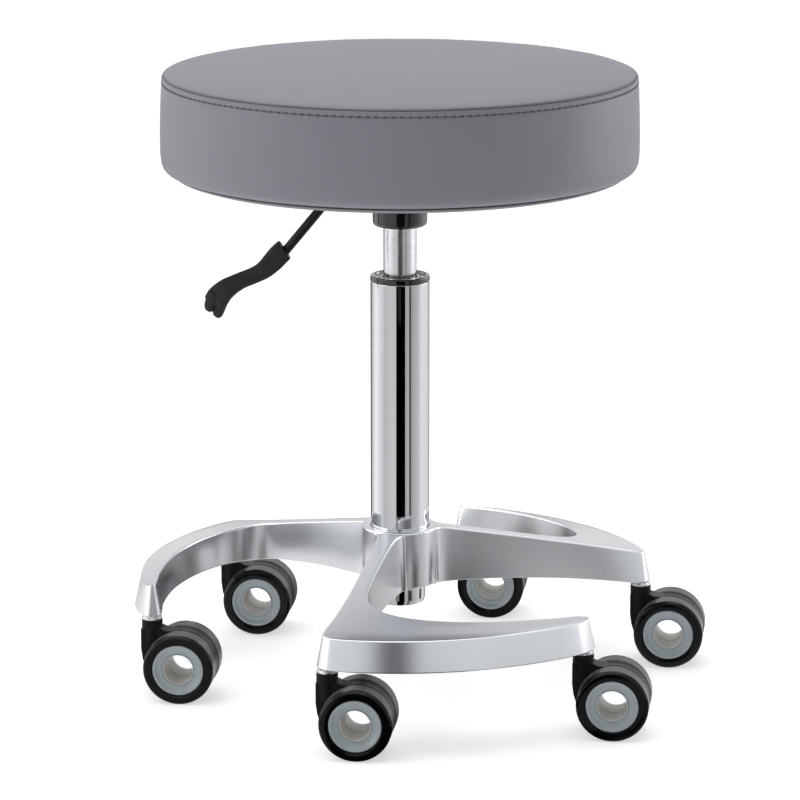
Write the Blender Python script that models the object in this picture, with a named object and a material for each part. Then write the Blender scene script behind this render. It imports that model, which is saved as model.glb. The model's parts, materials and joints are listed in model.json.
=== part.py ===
"""Pedicure stool: a round padded seat on a gas column, a cast base of three hooked arms, six casters.

Every size is in millimetres and becomes metres when a mesh or a placement is written. Shapes are
drawn about the column's axis, about a lever or wheel axis, or about a caster's swivel axis, and
empties carry them to their place. The row's origin is on the floor, under the middle of the
stool's bounding box."""
import math

import bmesh
import bpy
from mathutils import Matrix, Vector

MM = 0.001
SLIVER = 0.004 * MM                         # shortest edge that a Boolean may leave

# ---- overall layout -------------------------------------------------------------------------
COLUMN_X, COLUMN_Y = -20.52, 3.13           # column axis seen from the row's origin
HEEL_AZIMUTH = 254.17                       # direction of the first arm's heel, degrees
STEM_CIRCLE = 216.4                         # radius of the circle of caster stems
CASTER_COUNT = 6
TRAIL_AZIMUTH = -6.97                       # direction in which every caster trails at rest
FIT_GAP = 0.3                               # clearance between neighbouring pieces

# ---- cast base ------------------------------------------------------------------------------
RIM_RADIUS, RIM_TOP, TOP_SLOPE = 222.0, 97.0, 0.20   # the top falls from the hub like a cone
OUTER_ARC = 222.4                           # radius of a hook's outer top edge
FOOT_Z = 71.1                               # flat underside that the casters meet
ARM_LIFT, LIFT_START, LIFT_SPAN = 14.4, 212.0, 177.0
TOP_ROUND, FOOT_ROUND = 2.4, 1.5
HUB_R, HUB_TOP, HUB_FOOT = 32.0, 136.6, 86.5
STEM_HOLE_R, STEM_HOLE_TOP = 4.15, 91.0

# ---- column ---------------------------------------------------------------------------------
COLUMN_R, COLUMN_TOP, COLUMN_BORE = 25.0, 349.0, 22.7
CYLINDER_R, CYLINDER_TOP, CYLINDER_FOOT = 14.0, 419.5, 190.0
ROD_R = 5.0
VALVE_R = 3.0
COLLAR_R, COLLAR_FOOT, COLLAR_TOP = 23.0, 396.0, 417.6

# ---- seat and lever -------------------------------------------------------------------------
PLATE_HALF, PLATE_CORNER, PLATE_FOOT, PLATE_THICK = 75.0, 14.0, 436.2, 2.5
CASE_FOOT = 418.0
BOLT_PLACE, BOLT_R = 58.0, 2.9
PIVOT_X, PIVOT_Z, PIVOT_R, LEVER_R = -26.0, 428.0, 2.5, 3.25
SEAT_TOP = 531.0

# ---- casters --------------------------------------------------------------------------------
WHEEL_R, TRAIL, WHEEL_INNER, WHEEL_OUTER = 30.0, 25.8, 8.2, 25.8
TYRE_BORE, HUB_BORE, SLEEVE_R = 21.3, 12.5, 14.6
HOUSING_R, HOUSING_HALF = 27.6, 7.4
POST_R, POST_TOP, STEM_R = 8.85, 69.2, 4.0

TURNED_SIDES, WHEEL_SIDES, SEAT_SIDES = 24, 18, 32


# ---- tools ----------------------------------------------------------------------------------
def clear_scene():
    for thing in list(bpy.data.objects):
        bpy.data.objects.remove(thing, do_unlink=True)


def finish_mesh(name, bm):
    """Close a bmesh that was drawn in millimetres and write it as a mesh in metres."""
    bm.transform(Matrix.Scale(MM, 4))
    bmesh.ops.remove_doubles(bm, verts=bm.verts, dist=SLIVER)
    bmesh.ops.recalc_face_normals(bm, faces=bm.faces)
    mesh = bpy.data.meshes.new(name)
    bm.to_mesh(mesh)
    bm.free()
    return mesh


def turned(name, profile, sides=TURNED_SIDES):
    """Spin a closed profile of (radius, height) about Z. A radius of 0 lies on the axis."""
    bm = bmesh.new()
    verts = [bm.verts.new((radius, 0.0, height)) for radius, height in profile]
    edges = [bm.edges.new(pair) for pair in zip(verts, verts[1:] + verts[:1])
             if pair[0].co.x or pair[1].co.x]
    bmesh.ops.spin(bm, geom=verts + edges, cent=(0.0, 0.0, 0.0), axis=(0.0, 0.0, 1.0),
                   angle=math.tau, steps=sides, use_merge=True)
    return finish_mesh(name, bm)


def loft(name, sections):
    """Skin a run of sections with the same number of points, closed at both ends."""
    bm = bmesh.new()
    rows = [[bm.verts.new(point) for point in section] for section in sections]
    count = len(rows[0])
    for row, after in zip(rows, rows[1:]):
        for i in range(count):
            j = (i + 1) % count
            bm.faces.new((row[i], row[j], after[j], after[i]))
    bm.faces.new(rows[0])
    bm.faces.new(rows[-1])
    return finish_mesh(name, bm)


def prism(name, outline, low, high):
    """Extrude an outline in X and Y from one height to another."""
    return loft(name, [[(x, y, z) for x, y in outline] for z in (low, high)])


def block(name, low, high):
    (x0, y0, z0), (x1, y1, z1) = low, high
    return prism(name, [(x0, y0), (x1, y0), (x1, y1), (x0, y1)], z0, z1)


def moved(mesh, x=0.0, y=0.0, z=0.0, turn=None):
    """The same mesh, turned about its origin and then shifted by millimetres."""
    place = Matrix.Translation(Vector((x, y, z)) * MM)
    mesh.transform(place @ turn if turn else place)
    return mesh


def combined(mesh, others, operation):
    """A mesh joined with or cut by other meshes, with the slivers of the Boolean closed."""
    thing = bpy.data.objects.new("work", mesh)
    bpy.context.scene.collection.objects.link(thing)
    tools = []
    for other in others:
        tool = bpy.data.objects.new("tool", other)
        bpy.context.scene.collection.objects.link(tool)
        step = thing.modifiers.new(operation.lower(), 'BOOLEAN')
        step.operation, step.object, step.solver = operation, tool, 'EXACT'
        tools.append(tool)
    graph = bpy.context.evaluated_depsgraph_get()
    bm = bmesh.new()
    bm.from_mesh(thing.evaluated_get(graph).data)
    bmesh.ops.remove_doubles(bm, verts=bm.verts, dist=SLIVER)
    bmesh.ops.dissolve_degenerate(bm, edges=bm.edges, dist=SLIVER)
    bm.to_mesh(mesh)
    bm.free()
    for work in [thing] + tools:
        bpy.data.objects.remove(work, do_unlink=True)
    return mesh


def finish(name, colour, roughness, metallic=0.0):
    material = bpy.data.materials.new(name)
    material.use_nodes = True
    shader = material.node_tree.nodes["Principled BSDF"]
    shader.inputs["Base Color"].default_value = (*colour, 1.0)
    shader.inputs["Roughness"].default_value = roughness
    shader.inputs["Metallic"].default_value = metallic
    return material


def empty(name, parent=None, location=(0.0, 0.0, 0.0), heading=0.0):
    thing = bpy.data.objects.new(name, None)
    bpy.context.scene.collection.objects.link(thing)
    thing.parent = parent
    thing.location = Vector(location) * MM
    thing.rotation_euler = (0.0, 0.0, math.radians(heading))
    return thing


def piece(name, mesh, material, parent, location=(0.0, 0.0, 0.0), rotation=(0.0, 0.0, 0.0)):
    """One named sub-part, placed in its parent's frame. Pieces may share a mesh."""
    if not mesh.materials:
        mesh.shade_smooth()
        mesh.set_sharp_from_angle(angle=math.radians(32.0))
        mesh.materials.append(material)
    thing = bpy.data.objects.new(name, mesh)
    bpy.context.scene.collection.objects.link(thing)
    thing.parent = parent
    thing.location = Vector(location) * MM
    thing.rotation_euler = rotation
    return thing


def polar(radius, degrees):
    return (radius * math.cos(math.radians(degrees)), radius * math.sin(math.radians(degrees)))


LYING = Matrix.Rotation(math.radians(-90.0), 4, 'X')     # turns an axis from Z to Y


# ---- cast base ------------------------------------------------------------------------------
# Plan of one arm with its heel on +X. Each rung pairs a point of the leading and outer side with
# one of the trailing and inner side, then how far each side's foot stands outside its top edge.
RUNGS = [
    ((20.0, -17.0), (20.0, 15.0), 1.5, 3.0),
    ((29.0, -13.8), (29.0, 12.2), 1.5, 4.0),
    ((38.0, -10.4), (38.0, 7.6), 1.5, 5.5),
    ((52.0, -8.6), (52.0, 6.2), 1.5, 4.0),
    ((82.0, -6.4), (82.0, 7.4), 1.5, 2.2),
    ((112.0, -4.6), (112.0, 9.0), 1.5, 1.5),
    ((137.0, -3.6), (137.0, 10.4), 1.5, 1.2),
    ((153.0, -3.2), (149.5, 13.2), 1.7, 1.0),
    ((170.0, -3.2), (158.5, 19.6), 2.0, 1.0),
    ((187.0, -3.6), (165.0, 27.6), 2.6, 1.0),
    ((201.0, -4.6), (169.2, 36.8), 3.4, 1.0),
    ((211.0, -5.8), (171.4, 45.6), 4.2, 1.0),
    ((218.0, -5.6), (172.4, 54.4), 4.8, 1.0),
    ((221.8, -0.6), (172.0, 62.6), 5.2, 1.1),
    (polar(OUTER_ARC, 3.0), (171.2, 70.2), 5.2, 1.2),
    (polar(OUTER_ARC, 9.0), polar(187.2, 24.4), 5.2, 1.3),
    (polar(OUTER_ARC, 16.0), polar(190.0, 28.4), 5.2, 1.4),
    (polar(OUTER_ARC, 23.0), polar(192.9, 32.8), 5.2, 1.5),
    (polar(OUTER_ARC, 30.0), polar(195.9, 37.4), 5.2, 1.6),
    (polar(OUTER_ARC, 37.0), polar(199.0, 42.2), 5.2, 1.8),
    (polar(OUTER_ARC, 44.0), polar(202.4, 47.4), 5.2, 2.2),
    (polar(OUTER_ARC, 51.0), polar(206.0, 52.8), 5.2, 2.8),
    (polar(OUTER_ARC, 56.5), polar(209.3, 57.2), 5.2, 3.6),
    (polar(OUTER_ARC - 0.6, 59.4), polar(211.6, 59.4), 5.2, 4.2),
    (polar(OUTER_ARC - 2.7, 60.8), polar(213.8, 60.8), 5.2, 4.8),
    (polar(OUTER_ARC - 4.6, 61.2), polar(215.8, 61.2), 5.2, 5.2),
]


def side_normals(points, to_left):
    """Outward normals along one side of the plan, walking from the hub to the tip."""
    normals = []
    for i in range(len(points)):
        before, after = points[max(i - 1, 0)], points[min(i + 1, len(points) - 1)]
        along = (after - before).normalized()
        normals.append(Vector((-along.y, along.x)) * (1.0 if to_left else -1.0))
    return normals


def top_height(point):
    return RIM_TOP + TOP_SLOPE * (RIM_RADIUS - point.length)


def foot_height(point):
    share = min(max((LIFT_START - point.length) / LIFT_SPAN, 0.0), 1.0)
    return FOOT_Z + ARM_LIFT * math.sin(0.5 * math.pi * share)


def side_points(point, normal, splay, width):
    """Five points of a section's side, from the middle of the foot to the flat top."""
    top, foot = top_height(point), foot_height(point)
    round_in = min(TOP_ROUND, 0.45 * width)
    steps = ((splay - FOOT_ROUND, foot), (splay, foot + FOOT_ROUND),
             (0.1 * splay, top - TOP_ROUND), (-0.3 * round_in, top - 0.3 * TOP_ROUND),
             (-round_in, top))
    return [(*(point + normal * out), height) for out, height in steps]


def arm_mesh(heading):
    leading = [Vector(rung[0]) for rung in RUNGS]
    trailing = [Vector(rung[1]) for rung in RUNGS]
    lead_out, trail_out = side_normals(leading, False), side_normals(trailing, True)
    sections = []
    for i, (_, _, lead_splay, trail_splay) in enumerate(RUNGS):
        width = (leading[i] - trailing[i]).length
        up = side_points(leading[i], lead_out[i], lead_splay, width)
        down = side_points(trailing[i], trail_out[i], trail_splay, width)
        sections.append(up + down[::-1])
    return moved(loft("arm", sections), turn=Matrix.Rotation(math.radians(heading), 4, 'Z'))


def stem_place(index):
    x, y = polar(STEM_CIRCLE, HEEL_AZIMUTH + 360.0 / CASTER_COUNT * index)
    return (x, y, 0.0)


def casting_mesh():
    hub = turned("base_casting", [
        (0.0, HUB_FOOT), (HUB_R - 2.0, HUB_FOOT), (HUB_R, HUB_FOOT + 2.0), (HUB_R + 0.4, 110.0),
        (HUB_R - 0.2, HUB_TOP - 2.0), (HUB_R - 2.0, HUB_TOP), (0.0, HUB_TOP)])
    combined(hub, [arm_mesh(HEEL_AZIMUTH + 120.0 * i) for i in range(3)], 'UNION')
    below, above = FOOT_Z - 11.0, HUB_TOP + 13.0
    socket_r = COLUMN_R + 0.25
    cutters = [turned("socket", [(0.0, below), (socket_r, below), (socket_r, above),
                                 (0.0, above)])]
    for i in range(CASTER_COUNT):
        hole = turned("stem_hole", [(0.0, below), (STEM_HOLE_R, below),
                                    (STEM_HOLE_R, STEM_HOLE_TOP), (0.0, STEM_HOLE_TOP)], 10)
        cutters.append(moved(hole, *stem_place(i)))
    return combined(hub, cutters, 'DIFFERENCE')


# ---- column ---------------------------------------------------------------------------------
def column_tube_mesh():
    """The outer tube narrows to a rounded foot that shows under the base's hub."""
    return turned("column_tube", [
        (18.4, 69.0), (20.4, 69.5), (21.6, 72.0), (21.8, 83.0), (COLUMN_R, 90.0),
        (COLUMN_R, COLUMN_TOP), (COLUMN_BORE, COLUMN_TOP), (COLUMN_BORE, 92.0), (19.6, 84.0),
        (19.6, 75.4), (5.7, 75.4), (5.7, 73.0), (17.6, 73.0), (17.6, 69.4)])


def column_ring_mesh():
    foot = COLUMN_TOP + 0.2
    return turned("column_ring", [
        (14.8, foot), (25.2, foot), (25.2, foot + 4.0), (24.4, foot + 4.8), (20.6, foot + 4.8),
        (20.0, foot + 2.4), (14.8, foot + 2.4)])


def piston_rod_mesh():
    return turned("piston_rod", [
        (0.0, 70.2), (ROD_R, 70.2), (ROD_R, 80.3), (8.0, 80.3), (8.0, 84.0), (ROD_R, 84.0),
        (ROD_R, 320.0), (11.0, 320.0), (11.0, 332.0), (0.0, 332.0)], 12)


def lift_cylinder_mesh():
    """The inner cylinder: hollow below, with the valve's well in its solid top."""
    well_r, well_foot = VALVE_R + 0.2, CYLINDER_TOP - 18.5
    return turned("lift_cylinder", [
        (0.0, well_foot), (well_r, well_foot), (well_r, CYLINDER_TOP),
        (CYLINDER_R - 1.0, CYLINDER_TOP), (CYLINDER_R, CYLINDER_TOP - 1.0),
        (CYLINDER_R, CYLINDER_FOOT), (11.6, CYLINDER_FOOT), (11.6, 399.0), (0.0, 399.0)])


def make_column(column, finishes):
    steel, black = finishes["steel"], finishes["black_plastic"]
    piece("base_casting", casting_mesh(), finishes["cast_aluminium"], column)
    piece("column_tube", column_tube_mesh(), finishes["chrome"], column)
    piece("column_ring", column_ring_mesh(), black, column)
    piece("guide_bush", turned("guide_bush", [
        (14.5, 296.0), (22.4, 296.0), (22.4, 348.8), (14.5, 348.8)]), black, column)
    piece("thrust_bearing", turned("thrust_bearing", [
        (6.2, 75.7), (14.0, 75.7), (14.0, 80.0), (6.2, 80.0)], 16), steel, column)
    piece("piston_rod", piston_rod_mesh(), steel, column)
    piece("rod_clip", turned("rod_clip", [
        (5.2, 71.0), (9.0, 71.0), (9.0, 72.7), (5.2, 72.7)], 12), steel, column)
    piece("rubber_bumper", turned("rubber_bumper", [
        (5.4, 84.3), (12.0, 84.3), (12.6, 90.0), (12.0, 96.0), (5.4, 96.0)], 12),
        finishes["rubber"], column)
    piece("lift_cylinder", lift_cylinder_mesh(), finishes["satin_steel"], column)
    piece("valve_pin", turned("valve_pin", [
        (0.0, 405.0), (VALVE_R, 405.0), (VALVE_R, 424.1), (0.0, 424.1)], 12), steel, column)


# ---- seat plate and release lever -------------------------------------------------------------
def bolt_places():
    return [(x, y) for x in (-BOLT_PLACE, BOLT_PLACE) for y in (-BOLT_PLACE, BOLT_PLACE)]


def bolt_holes():
    """Cutters for the four seat bolts, long enough for the plate, the pan and the board."""
    radius, low, high = BOLT_R + 0.4, PLATE_FOOT - 6.0, PLATE_FOOT + 24.0
    return [moved(turned("bolt_hole", [(0.0, low), (radius, low), (radius, high), (0.0, high)], 8),
                  x, y) for x, y in bolt_places()]


def seat_plate_mesh():
    """A pressed plate with the lever's case under it and the socket for the cylinder below."""
    inset = PLATE_HALF - PLATE_CORNER
    plate = prism("seat_plate", [
        (PLATE_HALF, -inset), (PLATE_HALF, inset), (inset, PLATE_HALF), (-inset, PLATE_HALF),
        (-PLATE_HALF, inset), (-PLATE_HALF, -inset), (-inset, -PLATE_HALF),
        (inset, -PLATE_HALF)], PLATE_FOOT, PLATE_FOOT + PLATE_THICK)
    case = block("case", (-38.0, -28.0, CASE_FOOT), (38.0, 28.0, PLATE_FOOT + 1.0))
    socket_foot = COLLAR_FOOT + 3.6
    socket = turned("socket", [(0.0, socket_foot), (19.6, socket_foot),
                               (19.6, CASE_FOOT + 1.0), (0.0, CASE_FOOT + 1.0)])
    combined(plate, [case, socket], 'UNION')
    inside = block("inside", (-34.5, -24.0, CASE_FOOT + 2.6), (34.5, 24.0, PLATE_FOOT))
    bore_r = CYLINDER_R + FIT_GAP
    bore = turned("bore", [(0.0, 390.0), (bore_r, 390.0), (bore_r, 425.0), (0.0, 425.0)])
    slot = block("slot", (-45.0, -5.5, 423.4), (-30.0, 5.5, 434.2))
    pin_hole = turned("pin_hole", [(0.0, -40.0), (2.7, -40.0), (2.7, 40.0), (0.0, 40.0)], 12)
    moved(pin_hole, PIVOT_X, 0.0, PIVOT_Z, LYING)
    return combined(plate, [inside, bore, slot, pin_hole] + bolt_holes(), 'DIFFERENCE')


def collar_mesh():
    return turned("socket_collar", [
        (14.8, COLLAR_FOOT), (19.0, COLLAR_FOOT), (21.8, COLLAR_FOOT + 1.2),
        (COLLAR_R, COLLAR_FOOT + 4.2), (COLLAR_R, COLLAR_TOP), (20.1, COLLAR_TOP),
        (20.1, COLLAR_FOOT + 3.2), (14.8, COLLAR_FOOT + 3.2)])


def make_plate(column, lever, finishes):
    piece("seat_plate", seat_plate_mesh(), finishes["black_paint"], column)
    piece("socket_collar", collar_mesh(), finishes["gloss_black"], column)
    pin = turned("lever_pin", [(0.0, -28.6), (PIVOT_R, -28.6), (PIVOT_R, 28.6), (0.0, 28.6)], 12)
    piece("lever_pin", moved(pin, turn=LYING), finishes["steel"], lever)
    bolt = turned("plate_bolt", [
        (0.0, 431.8), (5.0, 431.8), (5.0, 435.9), (BOLT_R, 435.9), (BOLT_R, 452.0),
        (0.0, 452.0)], 12)
    for number, (x, y) in enumerate(bolt_places(), 1):
        piece(f"plate_bolt_{number}", bolt, finishes["steel"], column, (x, y, 0.0))


def round_bar(name, path, radius):
    """A round bar along a path of (x, z) points in the plane through the column's axis."""
    sections = []
    for i, (x, z) in enumerate(path):
        before, after = path[max(i - 1, 0)], path[min(i + 1, len(path) - 1)]
        across = Vector((after[1] - before[1], 0.0, before[0] - after[0])).normalized()
        sections.append([Vector((x, 0.0, z)) + across * radius * math.cos(turn)
                         + Vector((0.0, radius * math.sin(turn), 0.0))
                         for turn in (math.tau * k / 10 for k in range(10))])
    return loft(name, sections)


def lever_rod_mesh():
    """Level from the valve to the case's slot, then down and out to the handle."""
    rod = round_bar("lever_rod", [
        (4.0, PIVOT_Z), (-44.0, PIVOT_Z), (-49.5, PIVOT_Z - 1.6), (-54.0, PIVOT_Z - 6.0),
        (-69.8, 406.8), (-107.0, 361.2)], LEVER_R)
    eye = turned("eye", [(0.0, -5.0), (6.2, -5.0), (6.2, 5.0), (0.0, 5.0)], 16)
    combined(rod, [moved(eye, PIVOT_X, 0.0, PIVOT_Z, LYING)], 'UNION')
    hole_r = PIVOT_R + 0.2
    hole = turned("hole", [(0.0, -8.0), (hole_r, -8.0), (hole_r, 8.0), (0.0, 8.0)], 12)
    return combined(rod, [moved(hole, PIVOT_X, 0.0, PIVOT_Z, LYING)], 'DIFFERENCE')


# Upper edge, lower edge and half depth of the handle, from its socket to the root of its fork.
HANDLE = [
    ((-101.5, 382.6), (-90.0, 369.6), 6.4), ((-104.2, 381.0), (-92.4, 367.6), 7.6),
    ((-116.1, 368.6), (-101.0, 358.6), 7.2), ((-122.6, 361.6), (-107.2, 353.2), 6.2),
    ((-130.4, 357.6), (-115.6, 350.0), 5.0), ((-142.0, 353.6), (-127.4, 344.6), 4.2),
    ((-153.3, 347.2), (-138.0, 339.4), 3.8), ((-162.3, 338.4), (-146.2, 329.6), 3.6),
    ((-166.2, 329.4), (-151.0, 321.0), 3.3),
]
# The two short tips of the fork: upper and lower corner of the root, and the point.
TIPS = [((-165.8, 331.0), (-157.0, 326.4), (-163.6, 322.6)),
        ((-160.4, 328.2), (-150.4, 322.6), (-156.2, 316.8))]


def tip_mesh(upper, lower, point):
    root_half, end_half = 3.2, 2.6
    ends = [tuple((a + 2.0 * b) / 3.0 for a, b in zip(corner, point)) for corner in (upper, lower)]
    sections = []
    for (first, second), half in (((upper, lower), root_half), (ends, end_half)):
        sections.append([(first[0], -half, first[1]), (second[0], -half, second[1]),
                         (second[0], half, second[1]), (first[0], half, first[1])])
    return loft("tip", sections)


def handle_mesh():
    sections = []
    for (upper_x, upper_z), (lower_x, lower_z), half in HANDLE:
        upper, lower = Vector((upper_x, 0.0, upper_z)), Vector((lower_x, 0.0, lower_z))
        rim, side = (lower - upper) * 0.16, Vector((0.0, half, 0.0))
        sections.append([upper - side * 0.35, upper + rim - side, lower - rim - side,
                         lower - side * 0.35, lower + side * 0.35, lower - rim + side,
                         upper + rim + side, upper + side * 0.35])
    handle = combined(loft("lever_handle", sections), [tip_mesh(*tip) for tip in TIPS], 'UNION')
    bore = round_bar("bore", [(-82.25, 391.54), (-108.3, 359.6)], LEVER_R + FIT_GAP)
    return combined(handle, [bore], 'DIFFERENCE')


def make_lever(lever, finishes):
    """Both lever pieces have their origin on the lever's pivot."""
    for name, mesh, material in (("lever_rod", lever_rod_mesh(), "black_paint"),
                                 ("lever_handle", handle_mesh(), "black_plastic")):
        piece(name, moved(mesh, -PIVOT_X, 0.0, -PIVOT_Z), finishes[material], lever)


# ---- cushion --------------------------------------------------------------------------------
def make_seat(column, finishes):
    pan = turned("seat_pan", [
        (0.0, 439.0), (181.0, 439.0), (186.0, 440.2), (190.0, 443.2), (189.0, 444.2),
        (184.6, 441.8), (0.0, 441.5)], SEAT_SIDES)
    board = turned("seat_board", [(0.0, 441.8), (182.0, 441.8), (182.0, 453.8), (0.0, 453.8)],
                   SEAT_SIDES)
    foam = turned("foam_pad", [
        (0.0, 454.2), (190.0, 454.2), (196.6, 456.4), (198.3, 464.0), (198.3, 480.0),
        (196.7, 516.0), (194.6, 521.6), (178.0, 525.9), (150.0, 528.0), (100.0, 529.2),
        (0.0, 529.2)], SEAT_SIDES)
    cover = turned("seat_cover", [
        (184.5, 445.9), (190.5, 444.8), (195.3, 446.0), (199.0, 450.4), (200.4, 457.0),
        (200.6, 480.0), (199.4, 508.0), (198.3, 523.4), (196.4, 524.9), (189.0, 526.3),
        (178.0, 528.0), (150.0, 530.0), (100.0, SEAT_TOP), (0.0, SEAT_TOP),
        (0.0, 529.5), (100.0, 529.5), (150.0, 528.4), (178.0, 526.3), (195.6, 522.2),
        (197.4, 516.0), (199.0, 480.0), (198.9, 460.0), (196.8, 452.0), (193.4, 448.0),
        (184.5, 447.2)], SEAT_SIDES)
    piece("seat_pan", combined(pan, bolt_holes(), 'DIFFERENCE'), finishes["grey_plastic"], column)
    piece("seat_board", combined(board, bolt_holes(), 'DIFFERENCE'), finishes["plywood"], column)
    piece("foam_pad", foam, finishes["foam"], column)
    piece("seat_cover", cover, finishes["vinyl"], column)


# ---- casters --------------------------------------------------------------------------------
def stem_mesh():
    """A pin pressed into the base, with the flange that rides on the housing's post."""
    return turned("caster_stem", [
        (0.0, 46.0), (STEM_R, 46.0), (STEM_R, 69.5), (8.4, 69.5), (8.4, 70.8), (STEM_R, 70.8),
        (STEM_R, 90.6), (0.0, 90.6)], 10)


def housing_mesh():
    """A ring between the two wheels, with the swivel post grown into its leading side."""
    outline = [(-POST_R, 60.0), (-POST_R, 43.0), (-7.4, 34.0), (-4.6, 25.0)]
    start, sweep, steps = 204.0, 252.0, 16
    for k in range(steps + 1):
        x, z = polar(HOUSING_R, start + sweep * k / steps)
        outline.append((TRAIL + x, WHEEL_R + z))
    outline += [(13.0, 59.0), (POST_R - 0.6, 62.0)]
    upright = Matrix.Rotation(math.radians(90.0), 4, 'X')
    housing = moved(prism("caster_housing", outline, -HOUSING_HALF, HOUSING_HALF), turn=upright)
    post = turned("post", [(0.0, 52.0), (POST_R, 52.0), (POST_R, POST_TOP - 1.0),
                           (POST_R - 0.8, POST_TOP), (0.0, POST_TOP)], 16)
    combined(housing, [post], 'UNION')
    eye_r, well_r = SLEEVE_R + 0.5, STEM_R + 0.25
    eye = turned("eye", [(0.0, -12.0), (eye_r, -12.0), (eye_r, 12.0), (0.0, 12.0)])
    well = turned("well", [(0.0, 45.0), (well_r, 45.0), (well_r, 75.0), (0.0, 75.0)], 10)
    return combined(housing, [moved(eye, TRAIL, 0.0, WHEEL_R, LYING), well], 'DIFFERENCE')


def tyre_mesh():
    """A flat of the tread rests on the floor, so the flats and not the corners lie at WHEEL_R."""
    tread = WHEEL_R / math.cos(math.pi / WHEEL_SIDES)
    return turned("tyre", [
        (TYRE_BORE, WHEEL_INNER), (28.9, WHEEL_INNER), (tread, 10.2), (tread, 23.6),
        (28.6, WHEEL_OUTER), (TYRE_BORE, WHEEL_OUTER)], WHEEL_SIDES)


def wheel_hub_mesh():
    """A dished disc on a hollow sleeve, which turns in the housing's ring."""
    rim = TYRE_BORE - FIT_GAP
    return turned("hub", [
        (HUB_BORE, 0.2), (SLEEVE_R, 0.2), (SLEEVE_R, 8.1), (rim, 9.0), (rim, 25.2),
        (19.0, 25.2), (HUB_BORE, 21.0)], WHEEL_SIDES)


def make_casters(column, finishes):
    stem, housing, tyre, hub = stem_mesh(), housing_mesh(), tyre_mesh(), wheel_hub_mesh()
    for index in range(CASTER_COUNT):
        number, place = index + 1, stem_place(index)
        swivel = empty(f"swivel_{number}", column, place, TRAIL_AZIMUTH)
        piece(f"caster_stem_{number}", stem, finishes["steel"], column, place)
        piece(f"caster_housing_{number}", housing, finishes["black_plastic"], swivel)
        for letter, side in (("a", -90.0), ("b", 90.0)):
            axle, lie = (TRAIL, 0.0, WHEEL_R), (math.radians(side), 0.0, 0.0)
            piece(f"tyre_{number}{letter}", tyre, finishes["tyre"], swivel, axle, lie)
            piece(f"hub_{number}{letter}", hub, finishes["hub_plastic"], swivel, axle, lie)


def main():
    clear_scene()
    finishes = {material.name: material for material in (
        finish("cast_aluminium", (0.74, 0.75, 0.77), 0.22, 1.0),
        finish("chrome", (0.80, 0.81, 0.83), 0.05, 1.0),
        finish("satin_steel", (0.70, 0.71, 0.73), 0.28, 1.0),
        finish("steel", (0.62, 0.63, 0.65), 0.3, 1.0),
        finish("black_paint", (0.03, 0.03, 0.033), 0.4),
        finish("black_plastic", (0.03, 0.03, 0.032), 0.5),
        finish("gloss_black", (0.015, 0.015, 0.017), 0.15),
        finish("rubber", (0.02, 0.02, 0.02), 0.7),
        finish("tyre", (0.02, 0.02, 0.021), 0.3),
        finish("hub_plastic", (0.45, 0.48, 0.50), 0.3),
        finish("grey_plastic", (0.20, 0.20, 0.22), 0.5),
        finish("plywood", (0.55, 0.40, 0.24), 0.7),
        finish("foam", (0.82, 0.78, 0.62), 0.9),
        finish("vinyl", (0.24, 0.24, 0.26), 0.45))}
    column = empty("column_axis", location=(COLUMN_X, COLUMN_Y, 0.0))
    lever = empty("lever_axis", column, (PIVOT_X, 0.0, PIVOT_Z))
    make_column(column, finishes)
    make_plate(column, lever, finishes)
    make_lever(lever, finishes)
    make_seat(column, finishes)
    make_casters(column, finishes)


if __name__ == "__main__":
    main()
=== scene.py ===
"""Looks of the pedicure stool: detailed pieces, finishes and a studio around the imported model."""
import json
import math

import bmesh
import bpy
from bpy.props import FloatProperty, FloatVectorProperty, IntProperty, PointerProperty
from mathutils import Matrix, Vector, noise


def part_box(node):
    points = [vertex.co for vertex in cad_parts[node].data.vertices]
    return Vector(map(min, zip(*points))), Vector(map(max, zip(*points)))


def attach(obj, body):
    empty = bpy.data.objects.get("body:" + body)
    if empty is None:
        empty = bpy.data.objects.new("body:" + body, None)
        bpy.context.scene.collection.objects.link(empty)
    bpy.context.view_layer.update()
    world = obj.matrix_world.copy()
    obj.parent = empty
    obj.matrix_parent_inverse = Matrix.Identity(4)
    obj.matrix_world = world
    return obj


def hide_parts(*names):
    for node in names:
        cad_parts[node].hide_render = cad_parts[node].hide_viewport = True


bl_info = {
    "name": "Pedicure Stool",
    "version": (1, 0, 0),
    "blender": (4, 5, 0),
    "location": "View3D > Sidebar > Stool",
    "description": "Builds the stool's upholstery, castings, casters and finishes on its CAD frame",
    "category": "Object",
}

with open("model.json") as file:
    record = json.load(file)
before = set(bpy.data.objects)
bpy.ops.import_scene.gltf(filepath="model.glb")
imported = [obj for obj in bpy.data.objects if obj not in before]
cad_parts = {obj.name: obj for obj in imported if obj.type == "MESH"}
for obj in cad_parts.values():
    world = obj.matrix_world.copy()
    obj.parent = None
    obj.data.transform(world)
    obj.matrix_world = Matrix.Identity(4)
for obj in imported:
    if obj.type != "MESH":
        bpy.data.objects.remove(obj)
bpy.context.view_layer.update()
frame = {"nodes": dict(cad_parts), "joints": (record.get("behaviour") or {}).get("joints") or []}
MM = 0.001
UP = Vector((0.0, 0.0, 1.0))
JOINTS = {joint["name"]: joint for joint in frame["joints"]}


def low(node):
    """Lowest corner of a CAD node, in millimetres from the column's axis on the floor."""
    return (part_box(node)[0] - AXIS) / MM


def high(node):
    """Highest corner of a CAD node, in millimetres from the column's axis on the floor."""
    return (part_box(node)[1] - AXIS) / MM


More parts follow.
